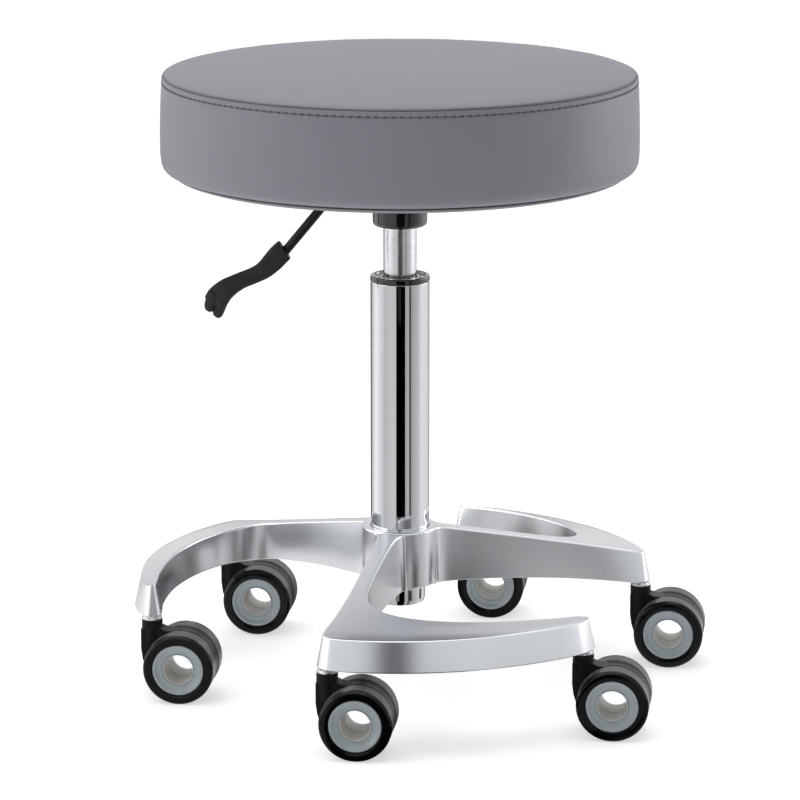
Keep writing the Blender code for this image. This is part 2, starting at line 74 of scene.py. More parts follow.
AXIS = Vector((JOINTS["seat_swivel"]["pos_m"][0], JOINTS["seat_swivel"]["pos_m"][1], 0.0))
CASTERS = sorted(name.rsplit("_", 1)[1] for name in JOINTS if name.startswith("caster_swivel_"))
SEAT_R = high("seat_cover").x
SEAT_TOP = high("seat_cover").z
COLUMN_R = high("column_tube").x
COLUMN_FOOT = low("column_tube").z
COLUMN_TOP = high("column_tube").z
RIM_R = 222.4                       # radius of a hook's outer top edge
HUB_R = 32.0
HUB_TOP = 136.6
HUB_FOOT = 86.5
FOOT_Z = low("base_casting").z


# ---- settings -------------------------------------------------------------------------------
def colour(name, value, description):
    return FloatVectorProperty(name=name, description=description, default=value, size=3,
                               min=0.0, max=1.0, subtype='COLOR')


def share(name, value, description):
    return FloatProperty(name=name, description=description, default=value, min=0.0, max=1.0,
                         subtype='FACTOR')


def length(name, value, description):
    return FloatProperty(name=name, description=description, default=value, min=0.0,
                         subtype='DISTANCE', unit='LENGTH')


def power(name, value, description):
    return FloatProperty(name=name, description=description, default=value, min=0.0,
                         subtype='POWER', unit='POWER')


class SeatSettings(bpy.types.PropertyGroup):
    """Upholstery of the seat."""
    vinyl: colour("Vinyl", (0.225, 0.224, 0.256), "Colour of the seat's cover")
    pan: colour("Pan", (0.25, 0.25, 0.275), "Colour of the moulded pan under the cushion")
    # The thread colour, scaled, also paints shade: the dark cord in the seam's crevice and the
    # near-black needle holes.
    thread: colour("Thread", (0.07, 0.07, 0.08), "Colour of the boxing's topstitching")
    sheen: share("Vinyl roughness", 0.47, "Roughness of the vinyl")
    pressure: FloatProperty(name="Pressure", default=4.0, min=0.0,
                            description="Pressure inside the cover while it is simulated")
    pitch: length("Stitch pitch", 0.0068, "Distance from one stitch to the next")


class MetalSettings(bpy.types.PropertyGroup):
    """Metals of the base and the column."""
    casting: colour("Casting", (0.64, 0.65, 0.67), "Colour of the polished aluminium")
    casting_roughness: share("Casting roughness", 0.24, "Roughness of the polished aluminium")
    chrome: colour("Chrome", (0.66, 0.67, 0.69), "Colour of the chrome plate")
    steel: colour("Steel", (0.70, 0.71, 0.73), "Colour of the ground steel cylinder")


class PlasticSettings(bpy.types.PropertyGroup):
    """Plastics of the lever, the collar and the casters."""
    black: colour("Black plastic", (0.009, 0.009, 0.010), "Colour of the moulded black plastic")
    tyre: colour("Tyre", (0.002, 0.002, 0.0024), "Colour of the tyre's side wall")
    # The tread colour is partly dust and partly painted highlight: the top light's reflection on the
    # tread, painted in.
    tread: colour("Tread", (0.125, 0.113, 0.102), "Colour of the dusty tread")
    hub: colour("Hub", (0.33, 0.37, 0.39), "Colour of the wheel's hub")
    sleeve: colour("Sleeve", (0.62, 0.60, 0.57), "Colour of the bore's lining")
    sides: IntProperty(name="Sides", default=96, min=24,
                       description="Number of sides of a turned piece")


class StageSettings(bpy.types.PropertyGroup):
    """Camera, floor and lights."""
    floor: colour("Floor", (0.90, 0.90, 0.905), "Colour of the plain floor")
    distance: length("Camera distance", 3.3653, "Camera's distance in front of the column's axis")
    height: length("Camera height", 1.0301, "Camera's height above the floor")
    lens: FloatProperty(name="Lens", default=183.06, min=10.0, unit='CAMERA',
                        description="Focal length on a 36 mm sensor")
    tilt: FloatProperty(name="Tilt", default=math.radians(76.87), subtype='ANGLE', unit='ROTATION',
                        description="Camera's tilt from straight down")
    ambient: share("Ambient", 0.16, "Brightness of the studio's surrounding light")
    surround: share("Surround", 1.0, "Brightness of the surroundings in the stool's mirrors")
    overhead: power("Overhead light", 68.0, "Power of the softbox above the stool")
    back: power("Back light", 96.0, "Power of the wide softbox behind the stool")
    side: power("Side light", 18.0, "Power of the softbox on the left")
    rim: power("Rim light", 14.0, "Power of the softbox behind on the right")


# ---- shader tools ---------------------------------------------------------------------------
class Wire:
    """A socket of a finish. Arithmetic on it adds Math nodes."""

    def __init__(self, finish, socket):
        self.finish = finish
        self.socket = socket

    def math(self, operation, *values):
        inputs = dict(enumerate(values))
        return self.finish.node('ShaderNodeMath', {"operation": operation}, inputs)

    def sine(self):
        return self.math('SINE', self)

    def __add__(self, other):
        return self.math('ADD', self, other)

    __radd__ = __add__

    def __sub__(self, other):
        return self.math('SUBTRACT', self, other)

    def __rsub__(self, other):
        return self.math('SUBTRACT', other, self)

    def __mul__(self, other):
        return self.math('MULTIPLY', self, other)

    __rmul__ = __mul__

    def __truediv__(self, other):
        return self.math('DIVIDE', self, other)

    def __gt__(self, other):
        return self.math('GREATER_THAN', self, other)

    def __lt__(self, other):
        return self.math('LESS_THAN', self, other)


class Finish:
    """A material that is being made: its constants, then whatever varies over the surface."""

    def __init__(self, name, **constants):
        self.material = bpy.data.materials.new(name + "_finish")
        self.material.use_nodes = True
        self.tree = self.material.node_tree
        self.shader = self.tree.nodes["Principled BSDF"]
        for key, value in constants.items():
            self.set(key.replace("_", " ").title().replace("Ior", "IOR"), value)

    def set(self, socket, value):
        if not isinstance(value, (Wire, float)):
            value = (*value, 1.0)
        self.feed(self.shader.inputs[socket], value)

    def feed(self, socket, value):
        if isinstance(value, Wire):
            self.tree.links.new(value.socket, socket)
        else:
            socket.default_value = value

    def node(self, kind, settings=None, inputs=None, output=0):
        made = self.tree.nodes.new(kind)
        for key, value in (settings or {}).items():
            if key == "stops":
                steps = made.color_ramp.elements
                while len(steps) < len(value):
                    steps.new(1.0)
                for stop, (position, shade) in zip(steps, value):
                    stop.position = position
                    stop.color = (shade, shade, shade, 1.0)
            else:
                setattr(made, key, value)
        for key, value in (inputs or {}).items():
            self.feed(made.inputs[key], value)
        return Wire(self, made.outputs[output])

    def place(self, stretch=(1.0, 1.0, 1.0)):
        """Object coordinates, stretched along the object's own axes."""
        where = self.node('ShaderNodeTexCoord', output="Object")
        return self.node('ShaderNodeVectorMath', {"operation": 'MULTIPLY'}, {0: where, 1: stretch})

    def along(self, axis):
        return self.node('ShaderNodeSeparateXYZ', inputs={0: self.place()}, output=axis)

    def radius(self):
        """Distance from the object's own Z axis."""
        flat = self.place((1.0, 1.0, 0.0))
        return self.node('ShaderNodeVectorMath', {"operation": 'LENGTH'}, {0: flat}, "Value")

    def noise(self, scale, detail=3.0, rough=0.5, stretch=(1.0, 1.0, 1.0)):
        return self.node('ShaderNodeTexNoise', None, {
            "Vector": self.place(stretch), "Scale": scale, "Detail": detail, "Roughness": rough})

    def cells(self, scale, feature='F1'):
        return self.node('ShaderNodeTexVoronoi', {"feature": feature},
                         {"Vector": self.place(), "Scale": scale}, "Distance")

    def ramp(self, factor, *stops):
        return self.node('ShaderNodeValToRGB', {"stops": stops}, {"Fac": factor})

    def mix(self, factor, first, second):
        ends = [end if isinstance(end, Wire) else (*end, 1.0) for end in (first, second)]
        return self.node('ShaderNodeMix', {"data_type": 'RGBA'},
                         {0: factor, 6: ends[0], 7: ends[1]}, 2)

    def bump(self, height, strength, distance):
        relief = self.node('ShaderNodeBump', None, {
            "Height": height, "Strength": strength, "Distance": distance})
        self.feed(self.shader.inputs["Normal"], relief)


def shade(value, factor):
    """A colour made lighter or darker by a factor."""
    return tuple(min(channel * factor, 1.0) for channel in value)


# ---- finishes -------------------------------------------------------------------------------
def cast_aluminium(metal):
    """Polished casting: soft satin with faint polishing haze and tiny pores."""
    made = Finish("cast_aluminium", metallic=1.0)
    haze = made.noise(14.0, 3.0)
    polish = made.noise(240.0, 4.0, 0.6)
    pores = made.cells(420.0)
    tone = haze * 0.8 + polish * 0.2
    made.set("Base Color", made.mix(tone, shade(metal.casting, 0.95), shade(metal.casting, 1.05)))
    made.set("Roughness", haze * 0.08 + polish * 0.04 + (metal.casting_roughness - 0.06))
    made.bump(polish * 0.7 + made.ramp(pores, (0.0, 0.0), (0.25, 1.0)) * 0.3, 0.012, 0.0002)
    return made.material


def chrome_plate(metal):
    """Mirror plate with faint wiping marks round the tube."""
    made = Finish("chrome", metallic=1.0)
    wipe = made.noise(22.0, 2.0, 0.5, (1.0, 1.0, 6.0))
    dust = made.noise(700.0, 2.0)
    made.set("Base Color", made.mix(wipe, shade(metal.chrome, 0.97), metal.chrome))
    made.set("Roughness", wipe * 0.03 + made.ramp(dust, (0.62, 0.0), (0.8, 1.0)) * 0.05 + 0.02)
    made.bump(wipe, 0.015, 0.0003)
    return made.material


def ground_steel(metal):
    """Ground cylinder with mottled fine grain."""
    made = Finish("satin_steel", metallic=1.0)
    mottle = made.noise(260.0, 5.0, 0.7)
    rings = made.noise(90.0, 3.0, 0.6, (0.2, 0.2, 14.0))
    made.set("Base Color", made.mix(mottle, shade(metal.steel, 0.80), shade(metal.steel, 1.15)))
    made.set("Roughness", mottle * 0.12 + rings * 0.08 + 0.10)
    made.bump(mottle * 0.6 + rings * 0.4, 0.12, 0.00015)
    return made.material


def zinc_steel(metal):
    """Zinc-plated steel of washers, bolts and pins, with spangle and specks."""
    made = Finish("steel", metallic=1.0)
    spangle = made.cells(380.0)
    specks = made.noise(900.0, 3.0, 0.7)
    dirt = made.ramp(specks, (0.34, 1.0), (0.42, 0.0))
    bright = made.mix(spangle, shade(metal.steel, 0.85), shade(metal.steel, 1.2))
    made.set("Base Color", made.mix(dirt, bright, (0.05, 0.05, 0.05)))
    made.set("Roughness", spangle * 0.15 + dirt * 0.3 + 0.2)
    made.bump(spangle + specks * 0.3, 0.1, 0.0001)
    return made.material


def black_paint(plastic):
    """Powder coat with a light orange peel."""
    made = Finish("black_paint", specular_ior_level=0.25)
    peel = made.noise(520.0, 2.0)
    wear = made.noise(60.0, 4.0, 0.65)
    made.set("Base Color", made.mix(wear, shade(plastic.black, 0.7), shade(plastic.black, 1.5)))
    made.set("Roughness", peel * 0.12 + wear * 0.1 + 0.22)
    made.bump(peel, 0.2, 0.0002)
    return made.material


def moulded_plastic(plastic, name="black_plastic", tone=1.0, roughness=0.42):
    """Fine spark-eroded texture of a moulded plastic."""
    made = Finish(name, specular_ior_level=0.10)
    grit = made.cells(1500.0)
    cloud = made.noise(45.0, 4.0, 0.6)
    made.set("Base Color", made.mix(cloud, shade(plastic.black, 0.8 * tone),
                                    shade(plastic.black, 1.5 * tone)))
    made.set("Roughness", cloud * 0.1 + grit * 0.15 + (roughness - 0.1))
    made.bump(grit, 0.25, 0.00012)
    return made.material


def gloss_plastic(plastic):
    """Polished black plastic with faint flow marks."""
    made = Finish("gloss_black_plastic", specular_ior_level=0.6, coat_roughness=0.04)
    flow = made.noise(50.0, 3.0, 0.5, (1.0, 1.0, 0.3))
    made.set("Base Color", made.mix(flow, shade(plastic.black, 0.3), shade(plastic.black, 0.7)))
    made.set("Roughness", flow * 0.06 + 0.07)
    made.set("Coat Weight", flow * 0.2 + 0.4)
    made.bump(flow, 0.03, 0.0003)
    return made.material


def grooved_fender(plastic):
    """Brownish black of the housing: fine circumferential lines that dust has settled in."""
    made = Finish("fender_plastic", specular_ior_level=0.15)
    across = made.along(1)
    lines = (across * 2400.0).sine() * 0.5 + 0.5
    dust = made.noise(130.0, 5.0, 0.65, (1.0, 0.15, 1.0))
    made.set("Base Color", made.mix(dust * 0.6 + lines * 0.3, shade(plastic.black, 0.6),
                                    shade(plastic.tread, 0.55)))
    made.set("Roughness", dust * 0.2 + 0.28)
    made.bump(lines * 0.7 + dust * 0.3, 0.25, 0.0002)
    return made.material


def tyre_rubber(plastic):
    """Glossy side wall and a lighter brown-grey tread, split by the distance from the axle. The
    tread's colour is partly dust and partly the top light's reflection, painted in as a highlight.
    """
    made = Finish("tyre", specular_ior_level=0.2)
    tread = (made.radius() > (WHEEL_R - 0.7) * MM) * (made.along(2) < (TYRE_OUT - 4.2) * MM)
    scuffs = made.noise(160.0, 5.0, 0.65, (1.0, 1.0, 0.25))
    # Lighter brown-grey tread: partly dust, partly painted highlight that stands in for the top
    # light's reflection.
    dusty_and_lit = made.mix(scuffs, shade(plastic.tread, 0.55), shade(plastic.tread, 1.35))
    wall = made.mix(scuffs, shade(plastic.tyre, 0.7), shade(plastic.tyre, 1.4))
    made.set("Base Color", made.mix(tread, wall, dusty_and_lit))
    made.set("Roughness", tread * 0.25 + scuffs * 0.06 + 0.07)
    made.bump(scuffs * 0.6 + made.cells(900.0) * tread, 0.04, 0.0002)
    return made.material


def hub_plastic(plastic):
    """Semi-gloss cool grey, with the bore's warmer lining inside it."""
    made = Finish("hub_plastic", specular_ior_level=0.5)
    bore = made.radius() < (BORE_R + 0.25) * MM
    cloud = made.noise(70.0, 4.0, 0.6)
    fine = made.noise(800.0, 2.0)
    face = made.mix(cloud, shade(plastic.hub, 0.94), shade(plastic.hub, 1.06))
    lining = made.mix(cloud, shade(plastic.sleeve, 0.9), shade(plastic.sleeve, 1.08))
    made.set("Base Color", made.mix(bore, face, lining))
    made.set("Roughness", bore * 0.2 + cloud * 0.08 + 0.22)
    made.bump(fine, 0.08, 0.0001)
    return made.material


def rubber(plastic):
    made = Finish("rubber", specular_ior_level=0.3)
    bloom = made.noise(120.0, 5.0, 0.7)
    made.set("Base Color", made.mix(bloom, shade(plastic.black, 0.8), shade(plastic.black, 2.2)))
    made.set("Roughness", bloom * 0.2 + 0.6)
    made.bump(bloom, 0.3, 0.0003)
    return made.material


def grey_vinyl(seat):
    """Soft vinyl: shallow pebble grain, a slow change of tone and slightly polished high spots."""
    made = Finish("vinyl", specular_ior_level=0.3, sheen_weight=0.08)
    pebble = made.cells(760.0)
    crease = made.noise(420.0, 4.0, 0.6)
    slow = made.noise(9.0, 3.0, 0.5)
    made.set("Base Color", made.mix(slow * 0.8 + crease * 0.2, shade(seat.vinyl, 0.93),
                                    shade(seat.vinyl, 1.06)))
    made.set("Roughness", slow * 0.06 + pebble * 0.10 + (seat.sheen - 0.06))
    made.bump(made.ramp(pebble, (0.0, 1.0), (0.7, 0.0)) * 0.6 + crease * 0.4, 0.14, 0.00025)
    return made.material


def pan_plastic(seat):
    made = Finish("pan_plastic", specular_ior_level=0.4)
    grit = made.cells(1100.0)
    cloud = made.noise(30.0, 4.0)
    made.set("Base Color", made.mix(cloud, shade(seat.pan, 0.92), shade(seat.pan, 1.06)))
    made.set("Roughness", grit * 0.15 + 0.36)
    made.bump(grit, 0.2, 0.0002)
    return made.material


def twisted_thread(seat, name="thread", tone=1.0):
    made = Finish(name, specular_ior_level=0.3)
    ply = made.noise(2600.0, 2.0, 0.6, (1.0, 1.0, 3.0))
    made.set("Base Color", made.mix(ply, shade(seat.thread, 0.6 * tone),
                                    shade(seat.thread, 1.5 * tone)))
    made.set("Roughness", ply * 0.2 + 0.55)
    made.bump(ply, 0.5, 0.0002)
    return made.material


def birch_plywood():
    """Veneer faces with long grain, and the plies' stripes on the edge."""
    made = Finish("plywood", specular_ior_level=0.3)
    grain = made.noise(24.0, 6.0, 0.6, (1.0, 9.0, 1.0))
    stripes = (made.along(2) * 3900.0).sine() * 0.5 + 0.5
    made.set("Base Color", made.mix(grain * 0.7 + stripes * 0.3, (0.34, 0.21, 0.11),
                                    (0.62, 0.47, 0.29)))
    made.set("Roughness", grain * 0.2 + 0.55)
    made.bump(grain, 0.2, 0.0003)
    return made.material


FINISHES = {}


def finishes(scene):
    """Every finish by the name of the record's material slot, made once."""
    if not FINISHES:
        metal, plastic, seat = scene.stool_metal, scene.stool_plastic, scene.stool_seat
        for made in (cast_aluminium(metal), chrome_plate(metal), ground_steel(metal),
                     zinc_steel(metal), black_paint(plastic), moulded_plastic(plastic),
                     moulded_plastic(plastic, "lever_plastic", 2.8, 0.45), gloss_plastic(plastic),
                     grooved_fender(plastic), tyre_rubber(plastic), hub_plastic(plastic),
                     rubber(plastic), grey_vinyl(seat), pan_plastic(seat), twisted_thread(seat),
                     # the seam cord's finish is painted shade of the seam's crevice
                     twisted_thread(seat, "seam_thread", 1.7),
                     # the needle holes' near-black finish is painted shade inside the holes
                     twisted_thread(seat, "needle_hole", 0.12), birch_plywood()):
            FINISHES[made.name.removesuffix("_finish")] = made
    return FINISHES


# ---- mesh tools -----------------------------------------------------------------------------
def rounded(corners, steps=6):
    """A closed outline of (a, b) or (a, b, radius) corners, each radius swept as an arc."""
    outline = []
    count = len(corners)
    for i, (a, b, *radius) in enumerate(corners):
        here = Vector((a, b))
        if not radius:
            outline.append(here)
            continue
        to_last = Vector(corners[i - 1][:2]) - here
        to_next = Vector(corners[(i + 1) % count][:2]) - here
        half = to_last.angle(to_next) / 2.0
        reach = min(radius[0] / math.tan(half), 0.49 * to_last.length, 0.49 * to_next.length)
        start = here + to_last.normalized() * reach
        end = here + to_next.normalized() * reach
        middle = (to_last.normalized() + to_next.normalized()).normalized()
        centre = here + middle * (reach / math.cos(half))
        sweep = (start - centre).angle_signed(end - centre)
        for k in range(steps + 1):
            outline.append(centre + Matrix.Rotation(-sweep * k / steps, 2) @ (start - centre))
    return outline


def spline(points, steps):
    """A Catmull-Rom run through tuples of any length."""
    rows = [Vector(point) for point in points]
    run = []
    for i in range(len(rows) - 1):
        a, b, c, d = rows[max(i - 1, 0)], rows[i], rows[i + 1], rows[min(i + 2, len(rows) - 1)]
        for k in range(steps):
            t = k / steps
            run.append(0.5 * (2.0 * b + (c - a) * t + (2.0 * a - 5.0 * b + 4.0 * c - d) * t * t
                              + (3.0 * b - a - 3.0 * c + d) * t * t * t))
    run.append(rows[-1])
    return run


def turned(bm, outline, sides):
    """Add an outline of (radius, height), closed or ending on the axis, spun about Z."""
    verts = [bm.verts.new((a, 0.0, b)) for a, b in outline]
    edges = [bm.edges.new(pair) for pair in zip(verts, verts[1:] + verts[:1])
             if pair[0].co.x > 1e-6 or pair[1].co.x > 1e-6]
    bmesh.ops.spin(bm, geom=verts + edges, cent=(0.0, 0.0, 0.0), axis=UP, angle=math.tau,
                   steps=sides, use_merge=True)


def lofted(bm, sections):
    """Add a skin over sections with the same number of points, closed at both ends."""
    rows = [[bm.verts.new(point) for point in section] for section in sections]
    for row, after in zip(rows, rows[1:]):
        for i in range(len(row)):
            j = (i + 1) % len(row)
            bm.faces.new((row[i], row[j], after[j], after[i]))
    bm.faces.new(rows[0])
    bm.faces.new(rows[-1])


def as_mesh(name, bm, sharp=40.0):
    """Write a bmesh drawn in millimetres as a smooth-shaded mesh in metres."""
    bm.transform(Matrix.Scale(MM, 4))
    bmesh.ops.remove_doubles(bm, verts=bm.verts, dist=1e-6)
    bmesh.ops.recalc_face_normals(bm, faces=bm.faces)
    mesh = bpy.data.meshes.new(name)
    bm.to_mesh(mesh)
    bm.free()
    mesh.shade_smooth()
    mesh.set_sharp_from_angle(angle=math.radians(sharp))
    return mesh


def fused(mesh, voxel, rounds):
    """Overlapping closed shapes made one by a voxel remesh, with their edges softened."""
    thing = bpy.data.objects.new("fusing", mesh)
    bpy.context.scene.collection.objects.link(thing)
    remesh = thing.modifiers.new("fuse", 'REMESH')
    remesh.mode = 'VOXEL'
    remesh.voxel_size = voxel
    soften = thing.modifiers.new("soften", 'SMOOTH')
    soften.factor = 0.5
    soften.iterations = rounds
    graph = bpy.context.evaluated_depsgraph_get()
    result = bpy.data.meshes.new_from_object(thing.evaluated_get(graph))
    bpy.data.objects.remove(thing, do_unlink=True)
    result.name = mesh.name
    result.shade_smooth()
    return result


def piece(name, mesh, finish, body, nodes=(), place=None):
    """One named piece: placed, finished, riding on its body and standing for CAD nodes."""
    if not mesh.materials:
        mesh.materials.append(finish)
    thing = bpy.data.objects.new(name, mesh)
    bpy.context.scene.collection.objects.link(thing)
    thing.matrix_world = place or Matrix.Translation(AXIS)
    thing.modifiers.new("even_normals", 'WEIGHTED_NORMAL').keep_sharp = True
    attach(thing, body)
    if nodes:
        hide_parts(*nodes)
    return thing


def turned_piece(name, corners, sides, finish, body, nodes=(), place=None):
    bm = bmesh.new()
    turned(bm, rounded(corners), sides)
    return piece(name, as_mesh(name, bm), finish, body, nodes, place)


def polar(radius, degrees):
    return (radius * math.cos(math.radians(degrees)), radius * math.sin(math.radians(degrees)))


# ---- cast base ------------------------------------------------------------------------------
# Plan of one arm with its heel on +X: leading point, trailing point, and how far each side's foot
# stands outside its top edge. The hook's outer edge is an arc about the column.
ROOT = [
    ((26.4, -16.0), (26.8, 14.6), 0.6, 0.6), ((28.5, -14.9), (29.3, 13.2), 0.7, 0.8),
    ((30.6, -12.2), (31.7, 9.9), 1.0, 2.0), ((34.2, -10.0), (35.3, 7.8), 1.4, 3.6),
    ((39.6, -8.9), (40.6, 6.7), 1.5, 4.4), ((52.0, -8.5), (52.0, 6.2), 1.5, 3.8),
    ((82.0, -6.4), (82.0, 7.4), 1.5, 2.2), ((112.0, -4.6), (112.0, 9.0), 1.5, 1.5),
    ((137.0, -3.6), (137.0, 10.4), 1.5, 1.2), ((153.0, -3.2), (149.5, 13.2), 1.7, 1.0),
    ((170.0, -3.2), (158.5, 19.6), 2.0, 1.0), ((187.0, -3.6), (165.0, 27.6), 2.6, 1.0),
    ((201.0, -4.6), (169.2, 36.8), 3.4, 1.0), ((211.0, -5.8), (171.4, 45.6), 4.2, 1.0),
    ((218.0, -5.6), (172.4, 54.4), 4.8, 1.0), ((221.8, -0.6), (172.0, 62.6), 5.2, 1.1),
    (polar(RIM_R, 3.0), (171.2, 70.2), 5.2, 1.2),
]
# The hook: outer azimuth, then the inner edge's radius and azimuth, and the two splays.
HOOK = [
    (9.0, 187.2, 24.4, 5.2, 1.3), (16.0, 190.0, 28.4, 5.2, 1.4), (23.0, 192.9, 32.8, 5.2, 1.5),
    (30.0, 195.9, 37.4, 5.2, 1.6), (37.0, 199.0, 42.2, 5.2, 1.8), (44.0, 202.4, 47.4, 5.2, 2.2),
    (51.0, 206.0, 52.8, 5.2, 2.8), (56.5, 209.3, 57.2, 5.2, 3.6),
]
TIP = [
    (polar(RIM_R - 0.6, 59.4), polar(211.6, 59.4), 4.2, 4.2),
    (polar(RIM_R - 2.7, 60.8), polar(213.8, 60.8), 4.8, 4.8),
    (polar(RIM_R - 4.6, 61.2), polar(215.8, 61.2), 5.2, 5.2),
]
RIM_TOP, TOP_SLOPE = 97.0, 0.20
ARM_LIFT, LIFT_START, LIFT_SPAN = 14.4, 212.0, 177.0
TOP_ROUND, FOOT_ROUND = 1.8, 1.2
TOP_STEPS, RUNG_STEPS = 6, 7
SMOOTHING = 60                      # passes that even out the run of the arm's two sides


def arm_sections():
    hook = [(polar(RIM_R, outer), polar(radius, inner), lead, trail)
            for outer, radius, inner, lead, trail in HOOK]
    rungs = [(*lead, *trail, lead_splay, trail_splay)
             for lead, trail, lead_splay, trail_splay in ROOT + hook + TIP]
    run = spline(rungs, RUNG_STEPS)
    for _ in range(SMOOTHING):
        for i in range(RUNG_STEPS * 2, len(run) - RUNG_STEPS * 4):
            run[i] = (run[i - 1] + 2.0 * run[i] + run[i + 1]) / 4.0
    sections = []
    for i, rung in enumerate(run):
        before, after = run[max(i - 1, 0)], run[min(i + 1, len(run) - 1)]
        lead, trail = Vector(rung[0:2]), Vector(rung[2:4])
        lead_along = Vector(after[0:2]) - Vector(before[0:2])
        trail_along = Vector(after[2:4]) - Vector(before[2:4])
        lead_out = Vector((lead_along.y, -lead_along.x)).normalized()
        trail_out = Vector((-trail_along.y, trail_along.x)).normalized()
        width = (lead - trail).length
        lead_side = side_points(lead, lead_out, rung[4], width)
        trail_side = side_points(trail, trail_out, rung[5], width)
        start, end = Vector(lead_side[-1][:2]), Vector(trail_side[-1][:2])
        across = [start.lerp(end, k / TOP_STEPS) for k in range(1, TOP_STEPS)]
        sections.append(lead_side + [(*point, arm_top(point)) for point in across]
                        + trail_side[::-1])
    return sections


def arm_top(point):
    """Height of the arms' top, which slopes gently down towards the rim."""
    return RIM_TOP + TOP_SLOPE * (RIM_R - point.length)


def side_points(point, normal, splay, width):
    """Points up one side of an arm, from the middle of its foot to its flat top."""
    top = arm_top(point)
    lift = min(max((LIFT_START - point.length) / LIFT_SPAN, 0.0), 1.0)
    foot = FOOT_Z + ARM_LIFT * math.sin(0.5 * math.pi * lift)
    turn_in = min(TOP_ROUND, 0.4 * width)
    steps = [(splay + FOOT_ROUND * (math.sin(bend) - 1.0), foot + FOOT_ROUND * (1.0 - math.cos(bend)))
             for bend in (0.25 * math.pi * k for k in range(3))]
    for k in range(6):
        bend = 0.5 * math.pi * k / 5
        steps.append((turn_in * (math.cos(bend) - 1.0), top + TOP_ROUND * (math.sin(bend) - 1.0)))
    return [(*(point + normal * out), height) for out, height in steps]


def heel_azimuths():
    """Directions of the three heels: every other caster's stem stands under one."""
    turns = []
    for number in CASTERS[::2]:
        stem = Vector(JOINTS[f"caster_swivel_{number}"]["pos_m"]) - AXIS
        turns.append(math.atan2(stem.y, stem.x))
    return turns


class STOOL_OT_cast_base(bpy.types.Operator):
    """Cast the hub and the three hooked arms that grow out of it in fillets"""
    bl_idname = "stool.cast_base"
    bl_label = "Cast Base"

    def execute(self, context):
        bm = bmesh.new()
        bore = COLUMN_R + 0.3
        turned(bm, rounded([(bore, HUB_FOOT), (HUB_R, HUB_FOOT, 2.0), (HUB_R + 0.4, 110.0),
                            (HUB_R, HUB_TOP, 2.4), (bore, HUB_TOP, 0.8)]), 96)
        sections = arm_sections()
        for azimuth in heel_azimuths():
            swing = Matrix.Rotation(azimuth, 3, 'Z')
            lofted(bm, [[swing @ Vector(point) for point in section] for section in sections])
        piece("base_body", as_mesh("base_body", bm), finishes(context.scene)["cast_aluminium"],
              "base", ["base_casting"])
        return {'FINISHED'}


# ---- column ---------------------------------------------------------------------------------
class STOOL_OT_column(bpy.types.Operator):
    """Turn the chromed tube, the wiper ring with its recess, the inner cylinder and the collar"""
    bl_idname = "stool.column"
    bl_label = "Column"

    def execute(self, context):
        finish = finishes(context.scene)
        sides = context.scene.stool_plastic.sides
        foot, top = COLUMN_FOOT, COLUMN_TOP
        turned_piece("chrome_tube", [
            (17.6, foot + 0.4), (20.4, foot, 2.0), (21.6, foot + 4.0, 4.0), (21.8, 83.0, 4.0),
            (COLUMN_R, 90.5, 3.0), (COLUMN_R, top, 0.5), (22.7, top), (22.7, 92.0), (19.6, 84.0),
            (19.6, 75.4), (5.7, 75.4), (5.7, 73.0), (17.6, 73.0)], sides, finish["chrome"],
            "base", ["column_tube"])
        ring_foot, ring_top = low("column_ring").z, high("column_ring").z
        ring_r = high("column_ring").x
        turned_piece("wiper_ring", [
            (14.8, ring_foot), (ring_r, ring_foot, 0.5), (ring_r, ring_top, 1.1),
            (22.4, ring_top, 0.6), (21.4, ring_foot + 2.2, 0.5), (18.0, ring_foot + 2.2, 0.4),
            (17.4, ring_foot + 3.4, 0.5), (14.8, ring_foot + 3.4, 0.5)], sides,
            finish["gloss_black_plastic"], "base", ["column_ring"])
        turned_piece("recess_washer", [
            (18.3, ring_foot + 2.0), (21.0, ring_foot + 2.0), (21.0, ring_foot + 2.7, 0.2),
            (18.3, ring_foot + 2.7, 0.2)], sides, finish["satin_steel"], "base")
        cylinder_foot, cylinder_top = low("lift_cylinder").z, high("lift_cylinder").z
        well = cylinder_top - 18.5
        turned_piece("inner_cylinder", [
            (0.0, well), (3.2, well), (3.2, cylinder_top), (14.0, cylinder_top, 1.0),
            (14.0, cylinder_foot, 0.6), (11.6, cylinder_foot), (11.6, 399.0), (0.0, 399.0)],
            sides, finish["satin_steel"], "seat", ["lift_cylinder"])
        collar_foot, collar_top = low("socket_collar").z, high("socket_collar").z
        collar_r = high("socket_collar").x
        turned_piece("collar", [
            (14.8, collar_foot, 0.6), (collar_r, collar_foot, 4.6), (collar_r, collar_top, 0.5),
            (20.1, collar_top), (20.1, collar_foot + 3.2), (14.8, collar_foot + 3.2)], sides,
            finish["gloss_black_plastic"], "seat", ["socket_collar"])
        return {'FINISHED'}


# ---- lever ----------------------------------------------------------------------------------
# Centre of each station of the handle in X and Z, its half width, half depth and twist in degrees.
HANDLE = [
    (-97.0, 375.2, 8.6, 7.2, 0.0), (-98.6, 374.0, 8.9, 7.5, 0.0), (-103.4, 369.2, 9.0, 7.5, 0.0),
    (-108.5, 363.6, 9.0, 7.2, 3.0), (-114.9, 357.6, 8.7, 6.4, 10.0),
    (-123.0, 353.2, 8.2, 5.2, 20.0), (-135.8, 347.8, 8.3, 4.4, 28.0),
    (-146.8, 341.2, 9.8, 4.2, 31.0), (-153.6, 334.2, 11.0, 4.0, 31.0),
    (-157.0, 328.8, 10.6, 3.8, 29.0),
]
LOBES = [((-159.8, 331.2), (-162.6, 322.4), 4.9), ((-151.8, 326.6), (-155.6, 317.2), 5.2)]
ROD = [(4.0, 428.0), (-52.0, 428.0, 9.0), (-107.0, 361.2)]
ROD_R, ROD_TIP_R, ROD_TAPER = 3.9, 3.25, 3.0  # the bar is thinner where it lies over the valve's pin


